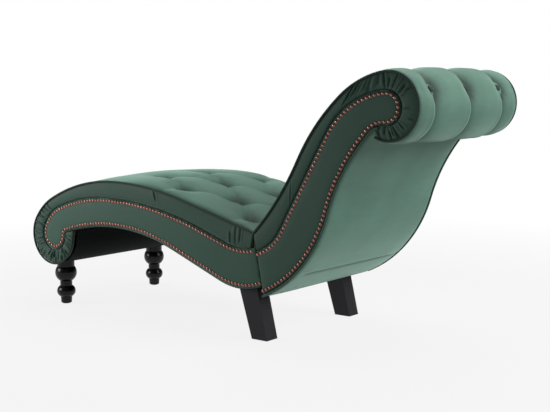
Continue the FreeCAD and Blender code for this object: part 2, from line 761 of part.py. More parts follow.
def make_nails(module, chain, face):
    """Upholstery nails along their line on both side panels, heads only."""
    count = int(chain.length() / size("nail_pitch")) + 1
    for name, side in SIDES:
        out = Vector(0, side, 0)
        heads = []
        for index in range(count):
            point, _ = chain.at(index * size("nail_pitch"))
            seat = Vector(point.x, side * face, point.y)
            heads.append(dome(size("nail_head_radius"), size("nail_head_height"), seat, out))
        nails = doc.addObject("Part::Feature", f"{module.name}_nails_{name}")
        nails.Shape = Part.makeCompound(heads)
        keep(nails, f"{module.name}_nails_{name}")


def box(label, x, y, z, length, width, height):
    """Part::Box with every size and place bound to an expression."""
    block = doc.addObject("Part::Box", label)
    for name, words in (("Length", length), ("Width", width), ("Height", height),
                        ("Placement.Base.x", x), ("Placement.Base.y", y),
                        ("Placement.Base.z", z)):
        block.setExpression(name, words)
    return block


def cut(label, base, tools):
    """Base less each tool in turn."""
    for index, tool in enumerate(tools):
        made = doc.addObject("Part::Cut", f"{label}_cut_{index}")
        made.Base = base
        made.Tool = tool
        base = made
    return base


def group(label, shapes):
    """Like fasteners kept as separate solids in one sub-part."""
    made = doc.addObject("Part::Feature", label)
    made.Shape = Part.makeCompound(shapes)
    return keep(made, label)


def make_cross_rail(module, chain, distance, label):
    """Rail under a deck, from board to board, square to the deck at its station."""
    point, heading = chain.at(size(distance), size("pad_depth") + size("deck_thickness")
                              + size("fit_gap"))
    rail = doc.addObject("Part::Box", label)
    rail.setExpression("Length", cell("board_thickness"))
    rail.setExpression("Width", f"2 * ({module.board_inner})")
    rail.setExpression("Height", cell("cross_rail_height"))
    lift = heading - 90 * chain.inner
    turn = Rotation(Vector(0, 1, 0), 90 - lift)
    corner = Vector(-size("board_thickness") / 2, -module.board_inner_value,
                    -size("cross_rail_height"))
    rail.Placement = Placement(Vector(point.x, 0, point.y) + turn.multVec(corner), turn)
    return keep(rail, label)


def make_joint_board(module, label):
    """Board across the end of a module; both boards are bolted face to face."""
    half_gap = size("joint_gap") / 2
    rise = size("joint_board_bottom")
    foot = JOINT_TOP + JOINT_DOWN * ((JOINT_TOP.y - rise) / -JOINT_DOWN.y)
    near = half_gap if module.joint > 0 else -half_gap - size("board_thickness")
    corner = foot + JOINT_AHEAD * near
    board = doc.addObject("Part::Box", label + "_blank")
    board.setExpression("Length", cell("board_thickness"))
    board.setExpression("Width", f"2 * ({module.board_inner})")
    board.setExpression("Height", cell("joint_board_height"))
    board.Placement = Placement(Vector(corner.x, -module.board_inner_value, corner.y),
                                Rotation(Vector(0, 1, 0), -size("joint_lean")))
    return board


def joint_bolt_places():
    """Middle of each joint bolt on the joint plane."""
    rise = size("joint_board_bottom") + size("joint_board_height") / 2
    middle = JOINT_TOP + JOINT_DOWN * ((JOINT_TOP.y - rise) / -JOINT_DOWN.y)
    places = []
    for side in (-1, 1):
        for along in (-1, 1):
            point = middle + JOINT_DOWN * (along * size("joint_bolt_spread"))
            places.append(Vector(point.x, side * size("joint_bolt_side"), point.y))
    return places


def make_joint():
    """Joint boards of both modules with the bolts and nuts that draw them together."""
    ahead = Vector(JOINT_AHEAD.x, 0, JOINT_AHEAD.y)
    stack = size("board_thickness") + size("joint_gap") / 2
    places = joint_bolt_places()
    for module in (SEAT, BACK):
        label = f"{module.name}_joint_board"
        holes = doc.addObject("Part::Feature", label + "_holes")
        holes.Shape = Part.makeCompound([
            Part.makeCylinder(size("bolt_radius") + size("fit_gap"), 4 * stack,
                              place - ahead * 2 * stack, ahead) for place in places])
        keep(cut(label, make_joint_board(module, label), [holes]), label)
    bolts, nuts = [], []
    shank = 2 * stack + size("nut_height")
    for place in places:
        rod = Part.makeCylinder(size("bolt_radius"), shank, place - ahead * stack, ahead)
        head = Part.makeCylinder(size("bolt_head_radius"), size("bolt_head_height"),
                                 place - ahead * stack, ahead * -1)
        bolts.append(rod.fuse(head).removeSplitter())
        nut = Part.makeCylinder(size("bolt_head_radius"), size("nut_height"),
                                place + ahead * stack, ahead)
        nuts.append(nut.cut(Part.makeCylinder(size("bolt_radius") + size("thread_gap"),
                                              shank, place, ahead)))
    group("joint_bolts", bolts)
    group("joint_nuts", nuts)


def make_front_leg(side, label):
    """Turned leg: collar, ball, neck, lower ball and tapered foot."""
    body = new_body(label)
    sketch = body.newObject("Sketcher::SketchObject", label + "_profile")
    plane = [f for f in body.Origin.OriginFeatures if f.Role == "XZ_Plane"][0]
    sketch.AttachmentSupport = [(plane, "")]
    sketch.MapMode = "FlatFace"

    def corner(radius, height):
        return Vector(size(radius) if isinstance(radius, str) else radius, height, 0)

    bore = size("bolt_radius") + size("thread_gap")
    bottom, top = size("glide_height"), size("front_leg_top")
    bore_end = top - size("hanger_bolt_length") / 2
    collar = corner("front_leg_collar_radius", size("front_leg_collar_bottom"))
    neck_top = corner("front_leg_neck_radius", size("front_leg_neck_top"))
    neck_low = corner("front_leg_neck_radius", size("front_leg_neck_bottom"))
    foot_top = corner("front_leg_foot_radius", size("front_leg_foot_top"))
    path = [
        line(Vector(0, bottom, 0), corner("front_leg_toe_radius", bottom)),
        line(corner("front_leg_toe_radius", bottom), foot_top),
        arc_through(foot_top, corner("front_leg_bead_radius", size("front_leg_bead_z")), neck_low),
        line(neck_low, neck_top),
        arc_through(neck_top, corner("front_leg_ball_radius", size("front_leg_ball_z")), collar),
        line(collar, corner("front_leg_collar_radius", top)),
        line(corner("front_leg_collar_radius", top), corner(bore, top)),
        line(corner(bore, top), corner(bore, bore_end)),
        line(corner(bore, bore_end), Vector(0, bore_end, 0)),
        line(Vector(0, bore_end, 0), Vector(0, bottom, 0)),
    ]
    draw(sketch, path)
    turn = body.newObject("PartDesign::Revolution", label + "_turning")
    turn.Profile = sketch
    turn.ReferenceAxis = (sketch, ["V_Axis"])
    turn.Angle = 360
    body.Placement = Placement(
        Vector(FOOT_CENTRE.x + size("front_leg_shift"), side * size("front_leg_y"), 0), Rotation())
    return keep(body, label)


def arc_through(start, middle, end):
    """Arc edge through three points, with its own ends in the order of the outline."""
    curve = Part.Arc(start, middle, end).toShape().Curve
    circle = Part.Circle(curve.Center, Vector(0, 0, 1), curve.Radius)
    spokes = [point - curve.Center for point in (start, middle, end)]
    begin, halfway, finish = [math.atan2(spoke.y, spoke.x) for spoke in spokes]
    left = (halfway - begin) % (2 * math.pi) < (finish - begin) % (2 * math.pi)
    if left:
        return Edge(Part.ArcOfCircle(circle, begin, finish), start, end)
    return Edge(Part.ArcOfCircle(circle, finish, begin), start, end, None, 2, 1)


def make_rear_leg(side, label, holes):
    """Raked square leg, drilled for its bolts; the blank is returned as well."""
    body = new_body(label + "_blank")
    height = size("rear_leg_top") - size("glide_height")
    front = size("joint_top_x") - size("rear_leg_setback")
    corners = [
        Vector(front, size("glide_height"), 0),
        Vector(front + size("rear_leg_floor_depth"), size("glide_height"), 0),
        Vector(front - size("rear_leg_rake") + size("rear_leg_top_depth"),
               size("glide_height") + height, 0),
        Vector(front - size("rear_leg_rake"), size("glide_height") + height, 0),
    ]
    sketch = side_sketch(body, label + "_outline",
                         "Sizes.rear_leg_y" if side < 0
                         else "-Sizes.rear_leg_y - Sizes.rear_leg_width")
    draw(sketch, [line(a, b) for a, b in zip(corners, corners[1:] + corners[:1])])
    pad = body.newObject("PartDesign::Pad", label + "_pad")
    pad.Profile = sketch
    pad.setExpression("Length", cell("rear_leg_width"))
    keep(cut(label, body, [holes]), label)
    return body


def make_legs():
    """Legs, rails, bolts and glides; returns what the linings are cut out for."""
    for name, side in SIDES:
        make_front_leg(side, f"front_leg_{name}")
    front_x = FOOT_CENTRE.x + size("front_leg_shift")
    top = size("front_leg_top")
    rail = box("front_leg_rail_blank", f"{front_x} - Sizes.leg_rail_width / 2",
               f"-({SEAT.board_inner})", cell("front_leg_top"), cell("leg_rail_width"),
               f"2 * ({SEAT.board_inner})", cell("leg_rail_height"))
    bore = size("bolt_radius") + size("thread_gap")
    hanger, end_gap = size("hanger_bolt_length"), size("bolt_end_gap")
    screw_holes = doc.addObject("Part::Feature", "front_leg_rail_holes")
    screw_holes.Shape = Part.makeCompound([
        Part.makeCylinder(bore, hanger, Vector(front_x, side * size("front_leg_y"),
                                               top - hanger / 2)) for _, side in SIDES])
    keep(cut("front_leg_rail", rail, [screw_holes]), "front_leg_rail")
    group("front_leg_hanger_bolts", [
        Part.makeCylinder(size("bolt_radius"), hanger - 2 * end_gap,
                          Vector(front_x, side * size("front_leg_y"), top - hanger / 2 + end_gap))
        for _, side in SIDES])

    rear_top, rear_rail = size("rear_leg_top"), size("leg_rail_height")
    floor_front = size("joint_top_x") - size("rear_leg_setback")
    middle_x = floor_front - size("rear_leg_rake") + size("rear_leg_top_depth") / 2
    middle_y = size("rear_leg_y") + size("rear_leg_width") / 2
    length = size("rear_bolt_length")
    seats = [Vector(middle_x + along * size("rear_bolt_spread"), side * middle_y, rear_top)
             for _, side in SIDES for along in (-1, 1)]
    rail_top = Vector(0, 0, rear_rail)
    bolt_holes = doc.addObject("Part::Feature", "rear_leg_bolt_holes")
    bolt_holes.Shape = Part.makeCompound([
        Part.makeCylinder(bore, length + end_gap, seat + rail_top, Vector(0, 0, -1))
        for seat in seats])
    bolts = []
    for seat in seats:
        shank = Part.makeCylinder(size("bolt_radius"), length, seat + rail_top, Vector(0, 0, -1))
        head = Part.makeCylinder(size("bolt_head_radius"), size("bolt_head_height"),
                                 seat + rail_top)
        bolts.append(shank.fuse(head).removeSplitter())
    group("rear_leg_bolts", bolts)
    rear_legs = [make_rear_leg(side, f"rear_leg_{name}", bolt_holes) for name, side in SIDES]
    rail = box("rear_leg_rail_blank",
               "Sizes.joint_top_x - Sizes.rear_leg_setback - Sizes.rear_leg_rake"
               " - Sizes.rear_rail_margin", f"-({SEAT.board_inner})", cell("rear_leg_top"),
               "Sizes.rear_leg_top_depth + 2 * Sizes.rear_rail_margin",
               f"2 * ({SEAT.board_inner})", cell("leg_rail_height"))
    keep(cut("rear_leg_rail", rail, [bolt_holes]), "rear_leg_rail")

    rear_x = floor_front + size("rear_leg_floor_depth") / 2
    group("leg_glides", [
        Part.makeCylinder(size("glide_radius"), size("glide_height"), Vector(x, side * y, 0))
        for x, y in ((front_x, size("front_leg_y")), (rear_x, middle_y)) for _, side in SIDES])
    collars = doc.addObject("Part::Feature", "front_leg_collars")
    collars.Shape = Part.makeCompound([
        Part.makeCylinder(size("front_leg_collar_radius") + size("fit_gap"), top,
                          Vector(front_x, side * size("front_leg_y"), 0)) for _, side in SIDES])
    return collars, rear_legs


def make_piping():
    """Covered cords: seat seams, front seams of the back, and the outside back's edges."""
    for name, side in SIDES:
        keep(piping(f"seat_piping_{name}", SEAT_SEAM, 0, [], side, SEAT.half,
                    (SEAT.joint, None)), f"seat_piping_{name}")
        keep(piping(f"back_piping_{name}", BACK_SEAM, 0, [], side, BACK.half,
                    (BACK.joint, None)), f"back_piping_{name}")
        keep(piping(f"back_rear_piping_{name}", BACK_REAR, -size("rear_piping_margin"),
                    [("rear_piping_margin", -1)], side, BACK.half,
                    (None, BACK.joint)), f"back_rear_piping_{name}")


def make_skins(legs):
    """Linings under the seat and inside the foot roll, and the outside back."""
    front_collars, rear_legs = legs
    margin, gap = size("nail_margin"), size("fit_gap")
    low_cells = [("nail_margin", -1), ("fit_gap", -1)]
    skin = size("lining_thickness")
    underside = SEAT_UNDERSIDE
    lining = cross_slab(
        "seat_lining_blank",
        strip(underside.edges(-margin - gap, low_cells),
              underside.edges(-margin - gap - skin, low_cells + [("lining_thickness", -1)])),
        SEAT.panel_inner)
    trimmed("seat_lining", cut("seat_lining_legs", lining, rear_legs), SEAT)

    rest = FOOT_ROLL.beyond(size("foot_pad_turn"))
    inner = f"{SEAT.half} - Sizes.band_thickness - Sizes.fit_gap"
    roll_lining = cross_slab(
        "foot_roll_lining_blank",
        strip(rest.edges(), rest.edges(skin, [("lining_thickness", 1)])), inner)
    keep(cut("foot_roll_lining", roll_lining, [front_collars]), "foot_roll_lining")

    thick = size("outside_back_thickness")
    outside = cross_slab(
        "outside_back_blank",
        strip(BACK_REAR.edges(-margin - gap, low_cells, None, BACK.joint),
              BACK_REAR.edges(-margin - gap - thick,
                              low_cells + [("outside_back_thickness", -1)], None, BACK.joint)),
        f"{BACK.half} - Sizes.piping_radius - Sizes.fit_gap")
    trimmed("outside_back", outside, BACK)


def make_roll_core():
    """Round core of the head roll, from board to board."""
    core = doc.addObject("Part::Cylinder", "head_roll_core")
    core.setExpression("Radius", "Sizes.head_roll_radius - Sizes.pad_depth - Sizes.fit_gap")
    core.setExpression("Height", f"2 * ({BACK.board_inner})")
    core.Placement = Placement(Vector(HEAD_CENTRE.x, BACK.board_inner_value, HEAD_CENTRE.y),
                               Rotation(Vector(1, 0, 0), 90))
    return keep(core, "head_roll_core")


def seat_rows(crowns):
    wide, close = size("tuft_side"), size("tuft_pair_side")
    return tuft_rows(SEAT_SEAM, crowns, [
        (size("seat_tuft_rear"), (-wide, 0, wide), "seat_tuft_level"),
        (size("seat_tuft_pair"), (-close, close), "seat_tuft_level"),
        (size("seat_tuft_middle"), (-wide, 0, wide), "seat_tuft_level"),
        (size("seat_tuft_front"), (-close, close), "seat_tuft_level"),
    ])


def back_rows(crowns):
    wide, close = size("tuft_side"), size("tuft_pair_side")
    return tuft_rows(BACK_SEAM, crowns, [
        (size("back_tuft_low"), (-wide, 0, wide), "back_tuft_level"),
        (size("back_tuft_pair"), (-close, close), "back_tuft_level"),
        (size("back_tuft_high"), (-wide, 0, wide), "back_tuft_level"),
    ])


def head_rows(crowns):
    around = size("head_roll_radius") * math.radians(size("head_tuft_turn"))
    wide = size("tuft_side")
    return tuft_rows(BACK_SEAM, crowns, [
        (BACK_SEAM.part(0, 3).length() + around, (-wide, 0, wide), "head_tuft_level")])


def crowns_along(chain, names):
    """Stations along the chain with their crowns, which change evenly over each segment."""
    stations, distance = [(0, size(names[0]))], 0
    for index, (before, name) in enumerate(zip(names, names[1:]), start=1):
        end = chain.part(0, index).length()
        for step in range(1, STATIONS + 1):
            share = step / STATIONS
            crown = size(before) + (size(name) - size(before)) * share
            stations.append((distance + (end - distance) * share, crown))
        distance = end
    return stations


def crown_at(crowns, distance):
    """Crown at a distance along the chain, between the stations on either side."""
    for (before, low), (after, high) in zip(crowns, crowns[1:]):
        if distance <= after:
            return low + (high - low) * (distance - before) / (after - before)
    return crowns[-1][1]


def make_pads():
    """Foam, deck, tufted cover, buttons and ties of both modules."""
    seat_foam, seat_deck = make_foam_and_deck(SEAT, SEAT_PADDED, SEAT_TOP)
    back_foam, back_deck = make_foam_and_deck(BACK, BACK_SEAM, BACK_DECK)
    doc.recompute()
    seat_crowns = crowns_along(SEAT_PADDED, [
        "seat_crown", "seat_crown", "seat_crest_crown", "foot_crown", "foot_crown", "foot_crown"])
    back_crowns = crowns_along(BACK_SEAM, [
        "back_crown", "back_crown", "back_crown", "head_crown", "head_crown"])
    seat, back, head = seat_rows(seat_crowns), back_rows(back_crowns), head_rows(back_crowns)
    run_in = size("pad_depth")
    for module, rows, foam, deck in ((SEAT, seat, seat_foam, seat_deck),
                                     (BACK, back, back_foam, back_deck)):
        tie_holes(f"{module.name}_foam", foam, rows)
        tie_holes(f"{module.name}_deck", deck, rows)
        make_ties(module, rows)
    make_cushion(SEAT, crowned_sweep(SEAT_PADDED, SEAT, seat_crowns, run_in), seat, [])
    make_cushion(BACK, crowned_sweep(BACK_SEAM, BACK, back_crowns, run_in), back, head)
    make_buttons(SEAT, seat)
    make_buttons(BACK, back + head)


def check_and_write():
    """Stop on any failed object or sub-part, then write each sub-part."""
    doc.recompute()
    for item in doc.Objects:
        if "Invalid" in item.State or "Error" in item.State:
            raise RuntimeError(f"{item.Label} failed: {item.State}")
    os.makedirs("parts", exist_ok=True)
    for item in PARTS:
        shape = item.Shape
        if shape.isNull() or not shape.isValid() or not shape.Solids:
            raise RuntimeError(f"{item.Label} has no valid solid")
        shape.exportStep(f"parts/{item.Label}.step")
        print(f"{item.Label}: {len(shape.Solids)} solids, {shape.Volume / 1000:.1f} cm3")
    whole = FreeCAD.BoundBox()
    for item in PARTS:
        whole.add(item.Shape.BoundBox)
    print(f"{len(PARTS)} sub-parts, x {whole.XMin:.1f} to {whole.XMax:.1f}, "
          f"y {whole.YMin:.1f} to {whole.YMax:.1f}, z {whole.ZMin:.1f} to {whole.ZMax:.1f}")


def main():
    """Build every sub-part, check it and write it."""
    make_boards(SEAT, SEAT_NAILS)
    make_boards(BACK, BACK_NAILS)
    make_bands(SEAT, SEAT_SEAM, SEAT_NAILS, 7)
    make_bands(BACK, BACK_SEAM, BACK_NAILS, 4)
    make_pads()
    make_piping()
    make_nails(SEAT, SEAT_NAILS, size("seat_half_width") - size("panel_inset"))
    make_nails(BACK, BACK_NAILS, size("back_half_width") - size("panel_inset"))
    make_cross_rail(SEAT, SEAT_SEAM, "seat_front_rail_at", "seat_front_rail")
    make_cross_rail(SEAT, SEAT_SEAM, "seat_middle_rail_at", "seat_middle_rail")
    make_cross_rail(BACK, BACK_SEAM, "back_middle_rail_at", "back_middle_rail")
    make_cross_rail(BACK, BACK_SEAM, "back_upper_rail_at", "back_upper_rail")
    make_roll_core()
    make_joint()
    make_skins(make_legs())
    check_and_write()


main()
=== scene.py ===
"""Looks of a velvet chaise longue, built around its fixed construction frame.

Side-view points are (x, z) in metres; every piece has its place in its own mesh.
"""

import math
import random

import bmesh
import bpy
import numpy as np
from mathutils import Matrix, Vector
from mathutils.geometry import delaunay_2d_cdt


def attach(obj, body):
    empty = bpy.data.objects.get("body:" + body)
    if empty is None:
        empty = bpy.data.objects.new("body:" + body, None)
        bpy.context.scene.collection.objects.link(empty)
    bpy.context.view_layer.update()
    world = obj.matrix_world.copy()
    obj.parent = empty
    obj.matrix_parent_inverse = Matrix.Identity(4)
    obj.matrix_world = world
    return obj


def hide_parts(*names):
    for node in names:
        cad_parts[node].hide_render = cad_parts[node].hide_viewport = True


bl_info = {
    "name": "Velvet Chaise Longue",
    "version": (1, 0, 0),
    "blender": (4, 5, 0),
    "location": "View3D > Sidebar > Chaise",
    "description": "Dresses a chaise longue frame in tufted velvet, nails and lacquered legs",
    "category": "Add Mesh",
}

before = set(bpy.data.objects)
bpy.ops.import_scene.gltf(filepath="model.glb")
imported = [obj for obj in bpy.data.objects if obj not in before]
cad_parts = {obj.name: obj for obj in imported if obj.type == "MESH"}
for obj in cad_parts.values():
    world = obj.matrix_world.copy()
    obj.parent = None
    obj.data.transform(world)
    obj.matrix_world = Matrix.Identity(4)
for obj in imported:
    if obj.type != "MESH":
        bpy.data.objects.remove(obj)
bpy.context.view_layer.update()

# Where the two upholstered modules meet, in the side view
JOINT_TOP = (0.2202, 0.332)
JOINT_LEAN = math.radians(10.8)
JOINT_GAP = 0.003
JOINT_AHEAD = (math.cos(JOINT_LEAN), math.sin(JOINT_LEAN))
JOINT_DOWN = (math.sin(JOINT_LEAN), -math.cos(JOINT_LEAN))

SEAT_HALF = 0.278
BACK_HALF = 0.283
PIPING_RADIUS = 0.0033
PIPING_TUCK = 0.0008
COVER_DEPTH = 0.0095
PANEL_INSET = 0.003
PANEL_THICKNESS = 0.003
NAIL_MARGIN = 0.011


class SeamLine:
    """Tangent runs and arcs of the side view, walked by length.

    A step is (length,) for a straight run or (radius, turn) for an arc, its turn in degrees and
    positive to the left. `inner` is 1 where the padding lies left of the travel, else -1.
    """

    def __init__(self, start, heading, steps, inner):
        self.inner = inner
        self.legs = []
        point, angle, walked = start, math.radians(heading), 0.0
        for step in steps:
            if len(step) == 1:
                length, bend = step[0], 0.0
            else:
                radius, turn = step
                length = radius * math.radians(abs(turn))
                bend = math.copysign(1 / radius, turn)
            self.legs.append((walked, length, point, angle, bend))
            point, angle = self.advance(point, angle, bend, length)
            walked += length
        self.length = walked

    @staticmethod
    def advance(point, angle, bend, length):
        if abs(bend) < 1e-9:
            return (point[0] + length * math.cos(angle), point[1] + length * math.sin(angle)), angle
        after = angle + bend * length
        x = point[0] + (math.sin(after) - math.sin(angle)) / bend
        z = point[1] - (math.cos(after) - math.cos(angle)) / bend
        return (x, z), after

    def at(self, distance, depth=0.0):
        """Point at a distance along the line and a depth inside it, and its outward direction."""
        leg = self.legs[0]
        for candidate in self.legs:
            if distance >= candidate[0]:
                leg = candidate
        walked, _, point, angle, bend = leg
        (x, z), angle = self.advance(point, angle, bend, distance - walked)
        outward = angle - self.inner * math.pi / 2
        up = (math.cos(outward), math.sin(outward))
        return (x - depth * up[0], z - depth * up[1]), up

    def knot(self, index):
        """Distance at which a leg starts."""
        return self.legs[index][0]


def from_joint(drop, ahead):
    """Side-view point counted down the joint from its top, and across it towards the head."""
    return (JOINT_TOP[0] + JOINT_DOWN[0] * drop + JOINT_AHEAD[0] * ahead,
            JOINT_TOP[1] + JOINT_DOWN[1] * drop + JOINT_AHEAD[1] * ahead)


FOOT_ROLL_RADIUS = 0.0997
HEAD_ROLL_RADIUS = 0.0934
SCROLL_NECK_RADIUS = 0.0686

SEAT_SEAM = SeamLine(from_joint(0, -JOINT_GAP / 2), 164.9, [
    (0.3012,), (1.151, 14.8), (0.665, 28), (0.2157, 28.1), (FOOT_ROLL_RADIUS, 205.9),
    (0.0355,)], 1)
SEAT_NAILS = SeamLine(from_joint(0.0544, -0.0226), 188.4, [
    (0.232, -27.2), (0.1068,), (1.227, 20), (0.604, 21.2), (0.1343, 42.2), (0.0443, 203.9),
    (0.0241, -71), (0.7653, -38.5), (0.203,), (0.2253, 40.3)], 1)
BACK_SEAM = SeamLine(from_joint(0, JOINT_GAP / 2), 45.3, [
    (0.9128, 17.4), (0.6154, -21.7), (0.2864, -31.8),
    (HEAD_ROLL_RADIUS, -215.7)], -1)
BACK_NAILS = SeamLine(from_joint(0.0641, 0.0042), 17.7, [
    (0.1562, 42.9), (0.3235,), (0.2439, -54.4), (0.0383, -190.7), (SCROLL_NECK_RADIUS, 50),
    (0.573, 27.7), (0.4012, -49.1)], -1)
FOOT_PAD_END = SEAT_SEAM.knot(4) + FOOT_ROLL_RADIUS * math.radians(92)


def smooth(value, low, high):
    """0 below `low`, 1 above `high` and a smooth ramp between."""
    share = np.clip((value - low) / (high - low), 0, 1)
    return share * share * (3 - 2 * share)


class ChaiseSizes(bpy.types.PropertyGroup):
    """Sizes that a user would change."""

    seat_crown: bpy.props.FloatProperty(
        name="Seat crown", description="Height of the seat's lobes above its seams",
        default=0.0255, unit="LENGTH")
    foot_crown: bpy.props.FloatProperty(
        name="Foot crown", description="Height of the padding round the foot roll",
        default=0.0045, unit="LENGTH")
    crest_crown: bpy.props.FloatProperty(
        name="Crest crown", description="Height of the seat where it starts to fall to the foot",
        default=0.0150, unit="LENGTH")
    back_crown: bpy.props.FloatProperty(
        name="Back crown", description="Height of the back's lobes above its seams",
        default=0.021, unit="LENGTH")
    head_crown: bpy.props.FloatProperty(
        name="Head roll crown", description="Height of the lobes round the head roll",
        default=0.0115, unit="LENGTH")
    tuft_mouth: bpy.props.FloatProperty(
        name="Tuft mouth", description="Radius over which a tuft draws the velvet in",
        default=0.038, unit="LENGTH")
    pleat_width: bpy.props.FloatProperty(
        name="Pleat width", description="Half width of the pleats between tufts",
        default=0.012, unit="LENGTH")
    band_puff: bpy.props.FloatProperty(
        name="Band fullness", description="How far the boxing bands swell",
        default=0.0035, unit="LENGTH")
    ruche_depth: bpy.props.FloatProperty(
        name="Ruche depth", description="Depth of the gathers round the rolls",
        default=0.0046, unit="LENGTH")
    nail_radius: bpy.props.FloatProperty(
        name="Nail radius", description="Radius of a nail's domed head",
        default=0.0055, unit="LENGTH")
    nail_pitch: bpy.props.FloatProperty(
        name="Nail pitch", description="Spacing of the nails along their line",
        default=0.0133, unit="LENGTH")
    grid_pitch: bpy.props.FloatProperty(
        name="Cloth pitch", description="Spacing of the threads of a modelled cushion cover",
        default=0.006, unit="LENGTH")


class ChaiseColours(bpy.types.PropertyGroup):
    """Colours that a user would change."""

    velvet: bpy.props.FloatVectorProperty(
        name="Velvet", description="Velvet seen straight on", subtype="COLOR",
        default=(0.052, 0.118, 0.086))
    velvet_light: bpy.props.FloatVectorProperty(
        name="Velvet highlight", description="Velvet where its nap lies towards the light",
        subtype="COLOR", default=(0.098, 0.196, 0.150))
    # Painted shade: the velvet's colour where its creases, pits, grooves and nail hollows are
    # darkened
    velvet_deep: bpy.props.FloatVectorProperty(
        name="Velvet shadow", description="Velvet in its creases", subtype="COLOR",
        default=(0.003, 0.011, 0.008))
    # The cover's own velvet, painted near black for the piping and buttons as painted shade
    piping: bpy.props.FloatVectorProperty(
        name="Piping", description="Velvet of the covered cords", subtype="COLOR",
        default=(0.006, 0.015, 0.011))
    copper: bpy.props.FloatVectorProperty(
        name="Copper", description="Antique copper of the nails", subtype="COLOR",
        default=(0.30, 0.125, 0.098))
    lacquer: bpy.props.FloatVectorProperty(
        name="Lacquer", description="Black lacquer of the legs", subtype="COLOR",
        default=(0.004, 0.004, 0.005))


# Nodes and shader maths


def add_node(tree, kind, settings, inputs):
    """Add a node: its settings first, then the values or links of its sockets."""
    made = tree.nodes.new(kind)
    for name, value in settings.items():
        setattr(made, name, value)
    for socket, value in inputs.items():
        if isinstance(value, Field):
            value = value.socket
        if isinstance(value, bpy.types.NodeSocket):
            tree.links.new(value, made.inputs[socket])
        else:
            made.inputs[socket].default_value = value
    return made


class Field:
    """A socket whose value varies over a surface, so that shader maths reads as expressions."""

    def __init__(self, finish, socket):
        self.finish = finish
        self.socket = socket

    def maths(self, operation, first, second=None):
        inputs = {0: first}
        if second is not None:
            inputs[1] = second
        return self.finish.node("ShaderNodeMath", {"operation": operation}, inputs)

    def __add__(self, other):
        return self.maths("ADD", self, other)

    def __radd__(self, other):
        return self.maths("ADD", other, self)

    def __sub__(self, other):
        return self.maths("SUBTRACT", self, other)

    def __mul__(self, other):
        return self.maths("MULTIPLY", self, other)

    def __rmul__(self, other):
        return self.maths("MULTIPLY", other, self)

    def clamped(self):
        return self.finish.node("ShaderNodeClamp", {}, {0: self})


class Finish:
    """One procedural material, built node by node."""

    def __init__(self, name, **constants):
        self.material = bpy.data.materials.new(name)
        self.material.use_nodes = True
        self.tree = self.material.node_tree
        self.surface = self.tree.nodes["Principled BSDF"]
        for socket, value in constants.items():
            self.surface.inputs[socket.replace("_", " ")].default_value = value

    def node(self, kind, settings, inputs, output=0):
        return Field(self, add_node(self.tree, kind, settings, inputs).outputs[output])

    def place(self):
        return self.node("ShaderNodeTexCoord", {}, {}, "Object")

    def attribute(self, name):
        return self.node("ShaderNodeAttribute", {"attribute_name": name}, {}, "Fac")

    def stretched(self, scale, turn=(0, 0, 0)):
        return self.node("ShaderNodeMapping", {}, {
            "Vector": self.place(), "Rotation": turn, "Scale": scale})

    def noise(self, scale, detail=2.0, roughness=0.5, vector=None):
        return self.node("ShaderNodeTexNoise", {}, {
            "Vector": vector or self.place(), "Scale": scale, "Detail": detail,
            "Roughness": roughness})

    def blend(self, factor, first, second):
        return self.node("ShaderNodeMix", {"data_type": "RGBA"}, {
            0: factor, 6: first, 7: second}, 2)

    def set(self, **fields):
        for socket, value in fields.items():
            self.tree.links.new(value.socket, self.surface.inputs[socket.replace("_", " ")])

    def bump(self, height, strength, distance, over=None):
        inputs = {"Height": height, "Strength": strength, "Distance": distance}
        if over:
            inputs["Normal"] = over
        return self.node("ShaderNodeBump", {}, inputs)


def rgba(colour):
    return (*colour, 1.0)


# Finishes


def velvet(name, base, light, deep, sheen=0.9):
    """Short-pile velvet: nap marks, a fine pile, painted shade in its creases and a pale sheen."""
    finish = Finish(name, Sheen_Weight=sheen, Sheen_Roughness=0.38,
                    Sheen_Tint=rgba((0.55, 0.82, 0.70)), Specular_IOR_Level=0.22)
    nap = finish.noise(5.0, 3.0, 0.55)
    streaks = finish.noise(1.0, 3.0, 0.6, finish.stretched((38, 12, 60), (0.3, 0.2, 0.7)))
    lie = ((nap * 1.5 + streaks * 0.5 - 0.62) * 1.3).clamped()
    shade = finish.blend(lie, rgba(base), rgba(light))
    pile = finish.noise(900.0, 2.0, 0.6)
    shade = finish.blend(pile * 0.25, shade, rgba(deep))
    # Painted shade: darkened towards the shadow colour wherever a piece stored its painted shade
    painted_shade = (finish.attribute("painted_shade") * 0.92).clamped()
    shade = finish.blend(painted_shade, shade, rgba(deep))
    finish.set(Base_Color=shade, Roughness=0.52 + lie * 0.16 + pile * 0.06)
    soft = finish.bump(streaks, 0.12, 0.002)
    finish.set(Normal=finish.bump(pile, 0.22, 0.0004, soft))
    return finish.material


def woven(name, colour, roughness, threads, sheen=0.1):
    """Plain-woven cloth or twine, its threads crossing."""
    finish = Finish(name, Roughness=roughness, Sheen_Weight=sheen, Specular_IOR_Level=0.2)
    across = finish.node("ShaderNodeTexWave", {"bands_direction": "X"}, {
        "Vector": finish.place(), "Scale": threads, "Distortion": 1.2, "Detail": 1.0})
    along = finish.node("ShaderNodeTexWave", {"bands_direction": "Y"}, {
        "Vector": finish.place(), "Scale": threads, "Distortion": 1.2, "Detail": 1.0})
    slub = finish.noise(70.0, 3.0)
    weave = (across * 0.5 + along * 0.5) * (0.7 + slub * 0.6)
    dark = tuple(0.55 * c for c in colour)
    finish.set(Base_Color=finish.blend(weave.clamped(), rgba(dark), rgba(colour)),
               Normal=finish.bump(weave, 0.35, 0.0006))
    return finish.material


